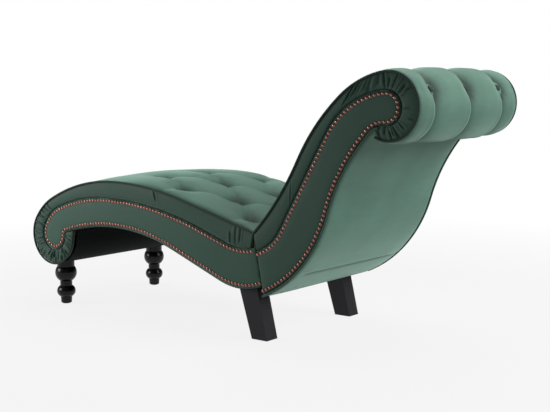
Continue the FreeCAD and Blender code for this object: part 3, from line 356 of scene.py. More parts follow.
def lacquer(name, colour, roughness, coat, worn):
    """Black lacquer on turned or sawn wood: grain just telegraphing through, rubbed edges."""
    finish = Finish(name, Specular_IOR_Level=0.16, Coat_Roughness=0.10, Coat_Weight=coat)
    grain = finish.noise(1.0, 4.0, 0.6, finish.stretched((55, 55, 4)))
    dust = finish.noise(160.0, 3.0, 0.7)
    edge = finish.node("ShaderNodeNewGeometry", {}, {}, "Pointiness")
    rubbed = ((edge - 0.53) * 9.0 * (0.4 + dust)).clamped() * worn
    lighter = tuple(3.0 * c + 0.01 for c in colour)
    finish.set(Base_Color=finish.blend(rubbed, rgba(colour), rgba(lighter)),
               Roughness=roughness + grain * 0.08 + dust * 0.05,
               Normal=finish.bump(grain, 0.08, 0.0012))
    return finish.material


def copper(name, colour):
    """Antique copper: bright metal, brown patina in noisy patches, small hammered dents."""
    finish = Finish(name, Metallic=0.95)
    patina = finish.noise(260.0, 3.0, 0.6)
    dents = finish.noise(420.0, 1.0, 0.5)
    tarnish = ((patina - 0.42) * 3.0).clamped()
    brown = (0.05, 0.018, 0.013, 1.0)
    finish.set(Base_Color=finish.blend(tarnish * 0.75, rgba(colour), brown),
               Roughness=0.24 + tarnish * 0.3,
               Normal=finish.bump(dents, 0.35, 0.0006))
    return finish.material


def timber(name):
    """Pale plywood, its veneer grain and the stripes of its plies."""
    finish = Finish(name, Roughness=0.7, Specular_IOR_Level=0.25)
    grain = finish.noise(1.0, 5.0, 0.6, finish.stretched((5, 140, 60)))
    plies = (finish.noise(1.0, 1.0, 0.4, finish.stretched((2, 900, 2))) - 0.4) * 1.6
    tone = (grain * 0.8 + plies.clamped() * 0.3).clamped()
    finish.set(Base_Color=finish.blend(tone, (0.26, 0.15, 0.07, 1), (0.62, 0.45, 0.26, 1)),
               Normal=finish.bump(grain, 0.2, 0.0005))
    return finish.material


def foam(name):
    """Open-cell upholstery foam."""
    finish = Finish(name, Roughness=0.95, Specular_IOR_Level=0.1)
    cells = finish.node("ShaderNodeTexVoronoi", {}, {"Vector": finish.place(), "Scale": 420.0})
    finish.set(Base_Color=finish.blend(cells, (0.72, 0.66, 0.42, 1), (0.85, 0.80, 0.60, 1)),
               Normal=finish.bump(cells, 0.5, 0.001))
    return finish.material


def steel(name):
    """Zinc-plated steel with its drawn lines."""
    finish = Finish(name, Metallic=1.0)
    lines = finish.noise(1.0, 2.0, 0.5, finish.stretched((30, 30, 700)))
    finish.set(Base_Color=finish.blend(lines, (0.42, 0.44, 0.46, 1), (0.66, 0.67, 0.68, 1)),
               Roughness=0.28 + lines * 0.2)
    return finish.material


def plastic(name):
    """Moulded black glide with a fine spark-eroded texture."""
    finish = Finish(name, Specular_IOR_Level=0.4)
    grit = finish.noise(700.0, 2.0)
    finish.set(Base_Color=finish.blend(grit, (0.012, 0.012, 0.013, 1), (0.03, 0.03, 0.032, 1)),
               Roughness=0.45 + grit * 0.2, Normal=finish.bump(grit, 0.2, 0.0003))
    return finish.material


FINISHES = {}


def toned(colour, share):
    """A colour made deeper or lighter."""
    return tuple(share * c for c in colour)


def make_finishes(colours):
    """Every finish once, under the name that the pieces use."""
    base, light, deep = colours.velvet, colours.velvet_light, colours.velvet_deep
    FINISHES.update({
        "cover": velvet("velvet_cover", base, light, deep, 0.6),
        # Outside back: the same velvet painted lighter, as painted light from the lamps
        "outside": velvet("velvet_outside_back", toned(base, 1.3), toned(light, 1.25), deep),
        # Side panels, bands and rear piping: the same velvet painted darker, as painted shade
        "side": velvet("velvet_side", toned(base, 0.84), base, deep, 0.7),
        "band": velvet("velvet_band_painted_shade", toned(base, 0.64), toned(base, 0.84), deep, 0.6),
        "back_side": velvet("velvet_back_side_painted_shade", toned(base, 0.70), toned(base, 0.84), deep, 0.6),
        "back_band": velvet("velvet_back_band_painted_shade", toned(base, 0.60), toned(base, 0.80), deep, 0.6),
        # Piping and buttons: the same velvet painted near black, as painted shade
        "piping": velvet("velvet_piping_painted_shade", colours.piping, toned(colours.piping, 2.5), deep, 0.25),
        "rear_piping": velvet("velvet_rear_piping_painted_shade", toned(base, 0.7), base, deep, 0.7),
        "lining": woven("black_lining_cloth", (0.005, 0.009, 0.0085), 0.9, 260.0, 0.03),
        "twine": woven("tie_twine", (0.55, 0.50, 0.40), 0.8, 500.0),
        "plywood": timber("birch_plywood"),
        "foam": foam("upholstery_foam"),
        "copper": copper("antique_copper", colours.copper),
        "gloss": lacquer("gloss_black_lacquer", colours.lacquer, 0.20, 0.12, 0.15),
        "satin": lacquer("satin_black_lacquer", toned(colours.lacquer, 2.0), 0.42, 0.08, 0.35),
        "steel": steel("zinc_plated_steel"),
        "plastic": plastic("black_glide_plastic"),
    })


# Meshes


def piece(name, vertices, faces, finish):
    """A finished mesh piece, its faces pointing outwards and shaded smooth."""
    mesh = bpy.data.meshes.new(name)
    mesh.from_pydata([tuple(v) for v in vertices], [], faces)
    shape = bmesh.new()
    shape.from_mesh(mesh)
    bmesh.ops.recalc_face_normals(shape, faces=shape.faces)
    shape.to_mesh(mesh)
    shape.free()
    mesh.materials.append(FINISHES[finish])
    mesh.shade_smooth()
    made = bpy.data.objects.new(name, mesh)
    bpy.context.scene.collection.objects.link(made)
    return made


def store_painted_shade(made, values):
    """Store the painted shade at each point of a piece, for the velvet to darken it."""
    mesh = made.data
    painted_shade = mesh.attributes.new("painted_shade", "FLOAT", "POINT")
    full = np.zeros(len(mesh.vertices), np.float32)
    full[:len(values)] = values
    painted_shade.data.foreach_set("value", full)


def shell_from_grid(name, front, near, far, finish):
    """Closed shell: a grid in front, and behind it a strip between the edges `near` and `far`."""
    rows, columns = front.shape[:2]
    vertices = list(front.reshape(-1, 3)) + list(near) + list(far)
    first_near = rows * columns
    first_far = first_near + rows
    faces = []
    for i in range(rows - 1):
        for j in range(columns - 1):
            a = i * columns + j
            faces.append((a, a + 1, a + columns + 1, a + columns))
        left, right = i * columns, (i + 1) * columns - 1
        faces.append((left, left + columns, first_near + i + 1, first_near + i))
        faces.append((right, first_far + i, first_far + i + 1, right + columns))
        faces.append((first_near + i, first_near + i + 1, first_far + i + 1, first_far + i))
    last = (rows - 1) * columns
    faces.append((*range(columns), first_far, first_near))
    faces.append((*range(last, last + columns), first_far + rows - 1, first_near + rows - 1))
    return piece(name, vertices, faces, finish)


COVER_LEVELS = 1


def subdivide(made):
    """Finish a cover with a subdivision surface."""
    surface = made.modifiers.new("Smooth cover", "SUBSURF")
    surface.levels = COVER_LEVELS
    surface.render_levels = COVER_LEVELS


SWELL_PRESSURE = 4.0
SWELL_FRAMES = 20
SWELL_REACH = 0.005
HOLD_STEPS = 10


def swell(made, held):
    """Blow a cover up as cloth held at its seams, tufts and pleats, and keep that shape."""
    mesh = made.data
    count = len(mesh.vertices)
    weights = np.ones(count)
    weights[:len(held)] = np.clip(held, 0, 1)
    group = made.vertex_groups.new(name="held")
    for step in range(1, HOLD_STEPS + 1):
        picked = np.nonzero(np.rint(weights * HOLD_STEPS) == step)[0]
        if len(picked):
            group.add(picked.tolist(), step / HOLD_STEPS, "REPLACE")
    cloth = made.modifiers.new("Swell", "CLOTH")
    cloth.settings.use_pressure = True
    cloth.settings.uniform_pressure_force = SWELL_PRESSURE
    cloth.settings.vertex_group_mass = "held"
    cloth.settings.quality = 5
    cloth.settings.effector_weights.gravity = 0.0
    cloth.point_cache.frame_start = 1
    cloth.point_cache.frame_end = SWELL_FRAMES
    scene = bpy.context.scene
    for number in range(1, SWELL_FRAMES + 1):
        scene.frame_set(number)
    graph = bpy.context.evaluated_depsgraph_get()
    blown = made.evaluated_get(graph).to_mesh()
    before, after = np.zeros(count * 3), np.zeros(count * 3)
    mesh.vertices.foreach_get("co", before)
    blown.vertices.foreach_get("co", after)
    made.evaluated_get(graph).to_mesh_clear()
    before = before.reshape(-1, 3)
    moved = (after.reshape(-1, 3) - before) * (1 - weights)[:, None]
    length = np.linalg.norm(moved, axis=1)
    moved *= np.minimum(1, SWELL_REACH / np.maximum(length, 1e-9))[:, None]
    made.modifiers.remove(cloth)
    made.vertex_groups.remove(group)
    mesh.vertices.foreach_set("co", (before + moved).reshape(-1))
    mesh.update()
    scene.frame_set(1)


def behind_joint(x, z, side):
    """Push a side-view point back to the end face of the module on that side of the joint."""
    face = from_joint(0, side * JOINT_GAP / 2)
    past = ((x - face[0]) * JOINT_AHEAD[0] + (z - face[1]) * JOINT_AHEAD[1]) * -side
    past = np.maximum(past, 0)
    return x + side * past * JOINT_AHEAD[0], z + side * past * JOINT_AHEAD[1]


def seam_shell(name, line, s_line, y_line, height, depths, side, finish):
    """Shell along a seam line: its face at the first depth plus `height`, its edges at the second."""
    face, edge = depths
    front = np.zeros((*height.shape, 3))
    near, far = np.zeros((len(s_line), 3)), np.zeros((len(s_line), 3))
    for i, distance in enumerate(s_line):
        (x, z), up = line.at(distance, face)
        px, pz = behind_joint(x + up[0] * height[i], z + up[1] * height[i], side)
        front[i, :, 0], front[i, :, 1], front[i, :, 2] = px, y_line, pz
        (x, z), _ = line.at(distance, edge)
        low = behind_joint(x, z, side)
        near[i], far[i] = (low[0], y_line[0], low[1]), (low[0], y_line[-1], low[1])
    return shell_from_grid(name, front, near, far, finish)


# Tufted cushions

# Round a button: the flat under it, the pit's wall, its painted shadow, and the puckers on the wall
BUTTON_FLAT = 0.006
PIT_SHARE, PIT_POWER = 0.62, 1.4
TUFT_SHADE, SHADE_POWER = 0.019, 2.2
PUCKERS = ((7, 0.0008), (11, 0.0006))
PUCKER_RING, PUCKER_WIDTH = 0.021, 0.012
LEVEL_REACH = 0.06

# A pleat: a sharp fold in a broad valley, which wanders a little between its tufts
PLEAT_SWAY = 0.004
FOLD_WIDTH, FOLD_POWER = 0.75, 1.15
VALLEY_WIDTH, VALLEY_SHARE = 2.6, 0.35
PLEAT_MOST = 0.98

# A lapped pleat: crisp on the lobe's edge, with a lip, and sloping away on the other side
LAP_WIDTH, SLOPE_WIDTH = 0.42, 1.7
LIP_HEIGHT, LIP_AT, LIP_WIDTH, LIP_FADE = 0.0026, 0.017, 0.010, 0.15

# The section of a cover: full at its shoulders, a little fuller in the middle, held at its rim
SHOULDER_SHARE, MIDDLE_SHARE = 0.72, 0.28
RIM_WIDTH, RIM_DRAW = 0.02, 0.25

# How far the velvet is drawn down where its creases get painted shade, and where the cloth is held
CREASE_FROM, CREASE_SPAN, CREASE_POWER = 0.28, 0.62, 1.5
HELD_FROM, HELD_WHOLE = 0.35, 0.8


class TuftedCover:
    """Height of a tufted cover over its seam level, in distance along and across the seam."""

    def __init__(self, line, end, half, side, crowns, tufts, pleats, sizes, seed):
        self.line = line
        self.end = end
        self.half = half
        self.side = side
        self.crowns = crowns
        self.tufts = tufts
        self.pleats = pleats
        self.mouth = sizes.tuft_mouth
        self.width = sizes.pleat_width
        self.random = random.Random(seed)

    def crown(self, s, y):
        """Crowned section, full in the middle and rounded down to the piping."""
        places, *profiles = zip(*self.crowns)
        crown, shoulder, softness = [np.interp(s, places, profile) for profile in profiles]
        inside = np.clip(self.half - np.abs(y), 0, None)
        bend = np.clip(1 - (1 - np.clip(inside / shoulder, 0, 1)) ** 2, 0, 1) ** softness
        middle = 1 - (np.clip(np.abs(y) / (self.half - shoulder), 0, 1)) ** 2
        return crown * (SHOULDER_SHARE * bend + MIDDLE_SHARE * middle * bend)

    def drawn(self, s, y):
        """How far each point is drawn down (1 at a button), its wrinkles, its painted shadow."""
        free = np.ones_like(s)
        wrinkle, dark = np.zeros_like(s), np.zeros_like(s)
        for at, across, _, (stretch, squeeze) in self.tufts:
            reach = np.hypot((s - at) / stretch, (y - across) / squeeze)
            wall = np.clip(reach - BUTTON_FLAT, 0, None) / (PIT_SHARE * self.mouth)
            free *= 1 - np.exp(-wall ** PIT_POWER)
            # Painted shadow in and round each pit
            dark = np.maximum(dark, np.exp(-(reach / TUFT_SHADE) ** SHADE_POWER))
            angle = np.arctan2(y - across, s - at)
            for folds, depth in PUCKERS:
                phase = self.random.uniform(0, math.tau)
                ring = np.exp(-((reach - PUCKER_RING) / PUCKER_WIDTH) ** 2)
                wrinkle += depth * ring * np.cos(folds * angle + phase)
        for (s1, y1), (s2, y2), middle, ends, lapped in self.pleats:
            length = math.hypot(s2 - s1, y2 - y1)
            along = ((s - s1) * (s2 - s1) + (y - y1) * (y2 - y1)) / length ** 2
            share = np.clip(along, 0, 1)
            bow = np.sin(math.pi * share + self.random.uniform(0, 1))
            sway = PLEAT_SWAY * bow * np.sign(y2 - y1)
            beside = y - y1 - share * (y2 - y1) - sway
            off = np.hypot(s - s1 - share * (s2 - s1), beside)
            strength = middle + (ends - middle) * np.abs(2 * share - 1) ** 1.6
            width = np.full_like(s, self.width)
            if lapped:
                width = self.width * np.where(beside < 0, LAP_WIDTH, SLOPE_WIDTH)
                lip = np.exp(-((beside + LIP_AT) / LIP_WIDTH) ** 2
                             - ((along - share) / LIP_FADE) ** 2)
                wrinkle += LIP_HEIGHT * strength * lip
            sharp = np.exp(-(off / (FOLD_WIDTH * width)) ** FOLD_POWER)
            broad = VALLEY_SHARE * np.exp(-(off / (VALLEY_WIDTH * width)) ** 2)
            free *= 1 - np.clip(strength * (sharp + broad), 0, PLEAT_MOST)
        return 1 - free, wrinkle, dark

    def level(self, s, y):
        """Level of the buttons near each point."""
        total, weight = np.zeros_like(s), np.full_like(s, 1e-9)
        for at, across, level, _ in self.tufts:
            near = np.exp(-np.hypot(s - at, y - across) / LEVEL_REACH)
            total += near * level
            weight += near
        return total / weight

    def build(self, name, pitch, finish):
        """Make the cover, store its painted shade and swell it where nothing holds it."""
        rows = int(self.end / pitch) + 1
        columns = int(2 * self.half / pitch) + 1
        s_line = np.linspace(0, self.end, rows)
        y_line = np.linspace(-self.half, self.half, columns)
        s, y = np.meshgrid(s_line, y_line, indexing="ij")
        drawn, wrinkle, dark = self.drawn(s, y)
        crown = self.crown(s, y)
        inside = smooth(self.half - np.abs(y), 0.0, RIM_WIDTH)
        drawn = drawn * (RIM_DRAW + (1 - RIM_DRAW) * inside)
        height = crown - drawn * (crown - self.level(s, y) * inside) + wrinkle * inside
        made = seam_shell(name, self.line, s_line, y_line, height, (0.0, COVER_DEPTH), self.side,
                          finish)
        # Painted shade: darker the deeper the velvet is drawn into its creases, and in each pit
        deep = np.clip((drawn - CREASE_FROM) / CREASE_SPAN, 0, 1) ** CREASE_POWER
        store_painted_shade(made, np.maximum(deep, dark).reshape(-1))
        ends = smooth(np.abs(s / self.end - 0.5), 0.49, 0.5)
        edges = np.maximum(1 - inside, ends)
        swell(made, np.maximum(edges, smooth(drawn, HELD_FROM, HELD_WHOLE)).reshape(-1))
        return made


def diamonds(rows, reach, middle, ends):
    """Pleats between each tuft and those of the next row within reach across."""
    pleats = []
    for (s1, across1), (s2, across2) in zip(rows, rows[1:]):
        for y1 in across1:
            for y2 in across2:
                if abs(y1 - y2) < reach:
                    pleats.append(((s1, y1), (s2, y2), middle, ends, False))
    return pleats


# Tufts: a round one or a slit, as its stretch along and across the seam, and their rows
ROUND = (1.0, 1.0)
SLIT = (1.6, 1.0)
SLIT_SHIFT = 0.006
TUFT_SIDE = 0.195
TUFT_PAIR = 0.100
WIDE_ROW = (-TUFT_SIDE, 0.0, TUFT_SIDE)
CLOSE_ROW = (-TUFT_PAIR, TUFT_PAIR)
SEAT_ROWS = [(0.079, WIDE_ROW), (0.216, CLOSE_ROW), (0.369, WIDE_ROW), (0.545, CLOSE_ROW)]
BACK_ROWS = [(0.105, WIDE_ROW), (0.255, CLOSE_ROW), (0.405, WIDE_ROW)]
HEAD_ROW = BACK_SEAM.knot(3) + HEAD_ROLL_RADIUS * math.radians(67)

# Where the pleats over the top of the back bow out, and how far
HEAD_TURN = 0.63
HEAD_DRIFT = 0.05

# Levels of the buttons over the seams
SEAT_LEVEL, BACK_LEVEL, HEAD_LEVEL = -0.003, -0.002, -0.0082


def outward_pleats(rows, half):
    """Short pleats from the outer tufts of the wide rows to the piping."""
    return [((s, side * TUFT_SIDE), (s + 0.012, side * half), 0.16, 0.42, False)
            for s, across in rows if across is WIDE_ROW for side in (-1, 1)]


def seat_cover(sizes):
    half = SEAT_HALF - PIPING_RADIUS + PIPING_TUCK
    tufts = [(s, y, SEAT_LEVEL, ROUND) for s, across in SEAT_ROWS for y in across]
    pleats = diamonds(SEAT_ROWS, TUFT_SIDE, 0.30, 0.72) + outward_pleats(SEAT_ROWS, half)
    pleats += [((SEAT_ROWS[0][0], y), (0.0, y), 0.30, 0.55, False) for y in WIDE_ROW]
    crown, crest, foot = sizes.seat_crown, sizes.crest_crown, sizes.foot_crown
    crowns = [(0, 0.4 * crown, 0.045, 0.5), (0.05, 0.8 * crown, 0.045, 0.5),
              (0.12, crown, 0.045, 0.5), (0.40, crown, 0.045, 0.5),
              (0.50, 0.5 * (crown + crest), 0.06, 0.6), (SEAT_SEAM.knot(2), crest, 0.10, 0.85),
              (0.68, crest, 0.14, 1.0), (0.77, 0.5 * (crest + foot), 0.14, 1.0),
              (SEAT_SEAM.knot(3), foot, 0.12, 1.0), (FOOT_PAD_END - 0.05, foot, 0.08, 0.7),
              (FOOT_PAD_END, 0.35 * foot, 0.05, 0.5)]
    return TuftedCover(SEAT_SEAM, FOOT_PAD_END, half, -1, crowns, tufts, pleats, sizes, 11)


def back_cover(sizes):
    half = BACK_HALF - PIPING_RADIUS + PIPING_TUCK
    end = BACK_SEAM.length
    tufts = [(s, y, BACK_LEVEL, ROUND) for s, across in BACK_ROWS for y in across]
    tufts += [(HEAD_ROW, y + SLIT_SHIFT, HEAD_LEVEL, SLIT) for y in WIDE_ROW]
    pleats = diamonds(BACK_ROWS, TUFT_SIDE, 0.30, 0.72)
    pleats += outward_pleats(BACK_ROWS + [(HEAD_ROW, WIDE_ROW)], half)
    pleats += [((BACK_ROWS[0][0], y), (0.0, y), 0.30, 0.55, False) for y in WIDE_ROW]
    pleats += [((BACK_ROWS[-1][0], y), (HEAD_TURN, y + HEAD_DRIFT), 0.50, 0.70, False)
               for y in WIDE_ROW]
    pleats += [((HEAD_TURN, y + HEAD_DRIFT), (HEAD_ROW, y), 0.55, 0.80, False) for y in WIDE_ROW]
    pleats += [((HEAD_ROW, y), (end, y), 0.50, 0.85, True) for y in WIDE_ROW]
    crown, head = sizes.back_crown, sizes.head_crown
    crowns = [(0, 0.7 * crown), (0.03, crown), (BACK_SEAM.knot(2), crown),
              (BACK_SEAM.knot(3), head), (end - 0.04, head), (end, 0.3 * head)]
    crowns = [(*stop, 0.045, 0.5) for stop in crowns]
    return TuftedCover(BACK_SEAM, end, half, 1, crowns, tufts, pleats, sizes, 23)


# Boxing bands

BAND_PITCH = 0.003
BAND_COLUMNS = 15
BAND_SINK = 0.0026
BAND_DEPTH = 0.019
BAND_TUCK = 0.0012
BAND_GAP = 0.0003
BAND_EDGE = 0.0030
GATHER_WIDTHS = (0.0022, 0.0050)
GATHER_SLANT = 0.008

# A gather: a valley between two ridges, each as a share of its depth and in widths from its middle
RIDGE_SHARE, RIDGE_AT, RIDGE_WIDTH = 0.45, 2.1, 1.1
# Painted shade in a gather's valley, as its share and its width
GATHER_SHADE, SHADE_WIDTH = 0.5, 1.3

# The swell of a band, how its gathers die at its edges, and the groove along the side panel
PUFF_POWER, RELIEF_POWER = 0.7, 0.35
# The groove along the side panel, where its painted shade starts, and how dark that is
GROOVE_FROM, GROOVE_SHADE_FROM, GROOVE_SHADE = 0.9, 0.93, 0.9

def gathers(seed, spans):
    """Gathers of a band as (place, width, depth, start, end, slant), crowded as each span says.

    A span is (first, last, spacing, depth). A gather runs from the piping, from the nails or over
    the whole band.
    """
    chance = random.Random(seed)
    made = []
    for first, last, spacing, depth in spans:
        place = first
        while place < last:
            whole = chance.random() < 0.35
            start = 0.0 if whole or chance.random() < 0.5 else chance.uniform(0.3, 0.5)
            end = 1.0 if whole or start > 0 else chance.uniform(0.45, 0.8)
            made.append((place, chance.uniform(*GATHER_WIDTHS), depth * chance.uniform(0.5, 1.2),
                         start, end, chance.uniform(-GATHER_SLANT, GATHER_SLANT)))
            place += spacing * chance.uniform(0.55, 1.5)
    return made


def boxing_band(name, seam, nails, knots, half, side, sizes, folds, joint_side, finish):
    """Padded strip from the piping to the edge of the side panel, gathered round the roll."""
    length = knots[-1][0]
    rows, columns = int(length / BAND_PITCH) + 1, BAND_COLUMNS
    u_line = np.linspace(0, length, rows)
    v_line = np.linspace(0, 1, columns)
    u, v = np.meshgrid(u_line, v_line, indexing="ij")
    relief, painted_shade = np.zeros_like(u), np.zeros_like(u)
    for place, width, depth, start, end, slant in folds:
        off = (u - place - slant * v) / width
        reach = smooth(v, start - 0.12, start + 0.08) * (1 - smooth(v, end - 0.15, end + 0.1))
        relief -= depth * np.exp(-off ** 2) * reach
        ridges = np.exp(-((np.abs(off) - RIDGE_AT) / RIDGE_WIDTH) ** 2)
        relief += RIDGE_SHARE * depth * ridges * reach
        # Painted shade in the valley of each gather
        painted_shade = np.maximum(painted_shade, GATHER_SHADE * np.exp(-(off / SHADE_WIDTH) ** 2) * reach)
    puff = sizes.band_puff * np.sin(np.pi * np.clip(v * 0.98 + 0.01, 0, 1)) ** PUFF_POWER
    relief = relief * np.sin(np.pi * v) ** RELIEF_POWER
    out = half - BAND_SINK + puff + relief - BAND_EDGE * smooth(v, GROOVE_FROM, 1.0)
    front = np.zeros((rows, columns, 3))
    near, far = np.zeros((rows, 3)), np.zeros((rows, 3))
    inner = side * (half - BAND_DEPTH)
    for i, distance in enumerate(u_line):
        beside = np.interp(distance, [k[0] for k in knots], [k[1] for k in knots])
        (x1, z1), _ = seam.at(distance, BAND_TUCK)
        (x2, z2), _ = nails.at(beside, -NAIL_MARGIN - BAND_GAP)
        x, z = behind_joint(x1 + (x2 - x1) * v_line, z1 + (z2 - z1) * v_line, joint_side)
        front[i, :, 0], front[i, :, 1], front[i, :, 2] = x, side * out[i], z
        near[i], far[i] = (x[0], inner, z[0]), (x[-1], inner, z[-1])
    made = shell_from_grid(name, front, near, far, finish)
    # Painted shade in the groove along the side panel
    groove = GROOVE_SHADE * smooth(v, GROOVE_SHADE_FROM, 1.0)
    store_painted_shade(made, np.maximum(painted_shade, groove).reshape(-1))
    return made


# Places along a seam and the places along the nails that lie across the band from them
SEAT_BAND_KNOTS = [(0.0, 0.0), (SEAT_SEAM.knot(2), SEAT_NAILS.knot(3) - 0.095),
                   (SEAT_SEAM.knot(3), SEAT_NAILS.knot(4)),
                   (SEAT_SEAM.knot(4) + 0.03, SEAT_NAILS.knot(5) + 0.01),
                   (SEAT_SEAM.knot(5), SEAT_NAILS.knot(6)),
                   (SEAT_SEAM.length, SEAT_NAILS.knot(7))]
BACK_BAND_KNOTS = [(0.0, 0.0), (BACK_SEAM.knot(1), BACK_NAILS.knot(1) + 0.12),
                   (BACK_SEAM.knot(2), BACK_NAILS.knot(2) - 0.01),
                   (BACK_SEAM.knot(3), BACK_NAILS.knot(3)),
                   (BACK_SEAM.length - 0.03, BACK_NAILS.knot(4)),
                   (BACK_SEAM.length, BACK_NAILS.knot(4) + 0.038)]


# Side panels and outside back

OUTLINE_PITCH = 0.0065
PANEL_PITCH = 0.007

# Relief of a side panel as heights or depths and the widths over which they act
TURN_DEPTH, TURN_WIDTH = 0.0022, 0.0035
WADDING_HEIGHT, WADDING_FROM, WADDING_FULL = 0.0016, 0.004, 0.035
CARD_HEIGHT, CARD_WIDTH = 0.0007, 0.008
DIMPLE_DEPTH, DIMPLE_WIDTH = 0.0010, 0.0050
# Painted shade round each nail and along the panel's edge, as its darkness and its width
NAIL_SHADE, NAIL_SHADE_WIDTH = 0.75, 0.0062
EDGE_SHADE, EDGE_SHADE_WIDTH = 0.8, 0.0022

def outline_of_panel(nails, joint_side):
    """Closed outline of a side panel, cut off at the joint."""
    count = int(nails.length / OUTLINE_PITCH)
    points = [nails.at(nails.length * k / count, -NAIL_MARGIN)[0] for k in range(count + 1)]
    for end, other in ((points[0], points[1]), (points[-1], points[-2])):
        step = (end[0] - other[0], end[1] - other[1])
        face = from_joint(0, joint_side * JOINT_GAP / 2)
        run = (((face[0] - end[0]) * JOINT_AHEAD[0] + (face[1] - end[1]) * JOINT_AHEAD[1])
               / (step[0] * JOINT_AHEAD[0] + step[1] * JOINT_AHEAD[1]))
        tip = (end[0] + run * step[0], end[1] + run * step[1])
        if end is points[0]:
            points = [tip] + points if run > 0 else points
        else:
            points = points + [tip] if run > 0 else points
    last, first = np.array(points[-1]), np.array(points[0])
    steps = max(2, int(np.linalg.norm(first - last) / OUTLINE_PITCH))
    points += [tuple(last + (first - last) * k / steps) for k in range(1, steps)]
    return np.array(points)


def distances_to(points, spots):
    """Distance from each point to the nearest spot."""
    best = np.full(len(points), 1e9)
    for spot in spots:
        best = np.minimum(best, np.hypot(points[:, 0] - spot[0], points[:, 1] - spot[1]))
    return best


def side_panel(name, nails, half, side, joint_side, pitch, finish):
    """Velvet over wadding and card, rounded over its edge and dimpled at every nail."""
    outline = outline_of_panel(nails, joint_side)
    low, high = outline.min(0), outline.max(0)
    grid = np.array([(x, z) for x in np.arange(low[0], high[0], PANEL_PITCH)
                     for z in np.arange(low[1], high[1], PANEL_PITCH)])
    clear = distances_to(grid, outline) > 0.6 * PANEL_PITCH
    points = [Vector(p) for p in outline] + [Vector(p) for p in grid[clear]]
    rim = list(range(len(outline)))
    vertices, _, faces, *_ = delaunay_2d_cdt(
        points, [(k, (k + 1) % len(rim)) for k in rim], [rim], 1, 1e-6)
    flat = np.array([tuple(v) for v in vertices])
    spots = [nails.at(k * pitch)[0] for k in range(int(nails.length / pitch) + 1)]
    edge = distances_to(flat, outline)
    nail = distances_to(flat, spots)
    out = (half - PANEL_INSET - TURN_DEPTH * np.exp(-(edge / TURN_WIDTH) ** 1.5)
           + WADDING_HEIGHT * smooth(edge, WADDING_FROM, WADDING_FULL)
           + CARD_HEIGHT * smooth(edge, 0.0, CARD_WIDTH)
           - DIMPLE_DEPTH * np.exp(-(nail / DIMPLE_WIDTH) ** 2))
    count = len(flat)
    top = [(p[0], side * o, p[1]) for p, o in zip(flat, out)]
    loop = [int(np.argmin(np.hypot(flat[:, 0] - p[0], flat[:, 1] - p[1]))) for p in outline]
    back = [(flat[k][0], side * (half - PANEL_INSET - PANEL_THICKNESS), flat[k][1]) for k in loop]
    shape = [tuple(f) for f in faces]
    for k in range(len(loop)):
        after = (k + 1) % len(loop)
        shape.append((loop[k], loop[after], count + after, count + k))
    shape.append(tuple(range(count, count + len(loop))))
    made = piece(name, top + back, shape, finish)
    # Painted shade in the hollow round each nail and along the turned edge
    painted_nail_shade = NAIL_SHADE * np.exp(-(nail / NAIL_SHADE_WIDTH) ** 4)
    store_painted_shade(made, np.maximum(painted_nail_shade, EDGE_SHADE * np.exp(-(edge / EDGE_SHADE_WIDTH) ** 2)))
    return made


REAR_INSET = 0.0003
REAR_START = BACK_NAILS.knot(4) + SCROLL_NECK_RADIUS * math.radians(20)
REAR_OVERRUN = 0.006
REAR_PITCH, REAR_PITCH_ACROSS = 0.006, 0.008
REAR_DEPTHS = (-0.0173, -0.0113)
REAR_SEAM = 1.3520
SEAM_DEPTH, SEAM_WIDTH, SEAM_LIP = 0.0042, 0.0045, 0.0018
REAR_FULL, REAR_TURN, REAR_SLACK = 0.0020, 0.0035, 0.0012


def outside_back(name):
    """Velvet outside back from under the head roll down to the joint, with its seam low down."""
    half = BACK_HALF - PIPING_RADIUS - REAR_INSET
    end = BACK_NAILS.length + REAR_OVERRUN
    rows = int((end - REAR_START) / REAR_PITCH) + 1
    columns = int(2 * half / REAR_PITCH_ACROSS) + 1
    y_line = np.linspace(-half, half, columns)
    s_line = np.linspace(REAR_START, end, rows)
    s, y = np.meshgrid(s_line, y_line, indexing="ij")
    inside = half - np.abs(y)
    full = (REAR_FULL * (1 - np.exp(-inside / 0.05))
            - REAR_TURN * np.exp(-(inside / 0.004) ** 1.2))
    fade = smooth(y, -0.262, -0.215) * (1 - 0.6 * smooth(y, 0.20, 0.26))
    groove = np.exp(-((s - REAR_SEAM) / SEAM_WIDTH) ** 2) * fade
    lip = smooth(s, REAR_SEAM - 0.05, REAR_SEAM) * (1 - smooth(s, REAR_SEAM, REAR_SEAM + 0.003))
    slack = REAR_SLACK * np.sin(7.0 * y + 9.0 * s) * np.sin(11 * s) * smooth(inside, 0, 0.1)
    height = full - SEAM_DEPTH * groove + SEAM_LIP * lip * fade + slack
    made = seam_shell(name, BACK_NAILS, s_line, y_line, height, REAR_DEPTHS, 1, "outside")
    # Painted shade in the seam's groove and along both side edges
    shade = np.maximum(0.85 * groove, 0.5 * np.exp(-(inside / 0.003) ** 2))
    store_painted_shade(made, shade.reshape(-1))
    return made


# Nails and buttons

NAIL_HEIGHT = 0.0028
NAIL_PATH_PITCH = 0.004
BUTTON_RADIUS, BUTTON_HEIGHT = 0.0105, 0.0046
BUTTON_RISE = 0.0012

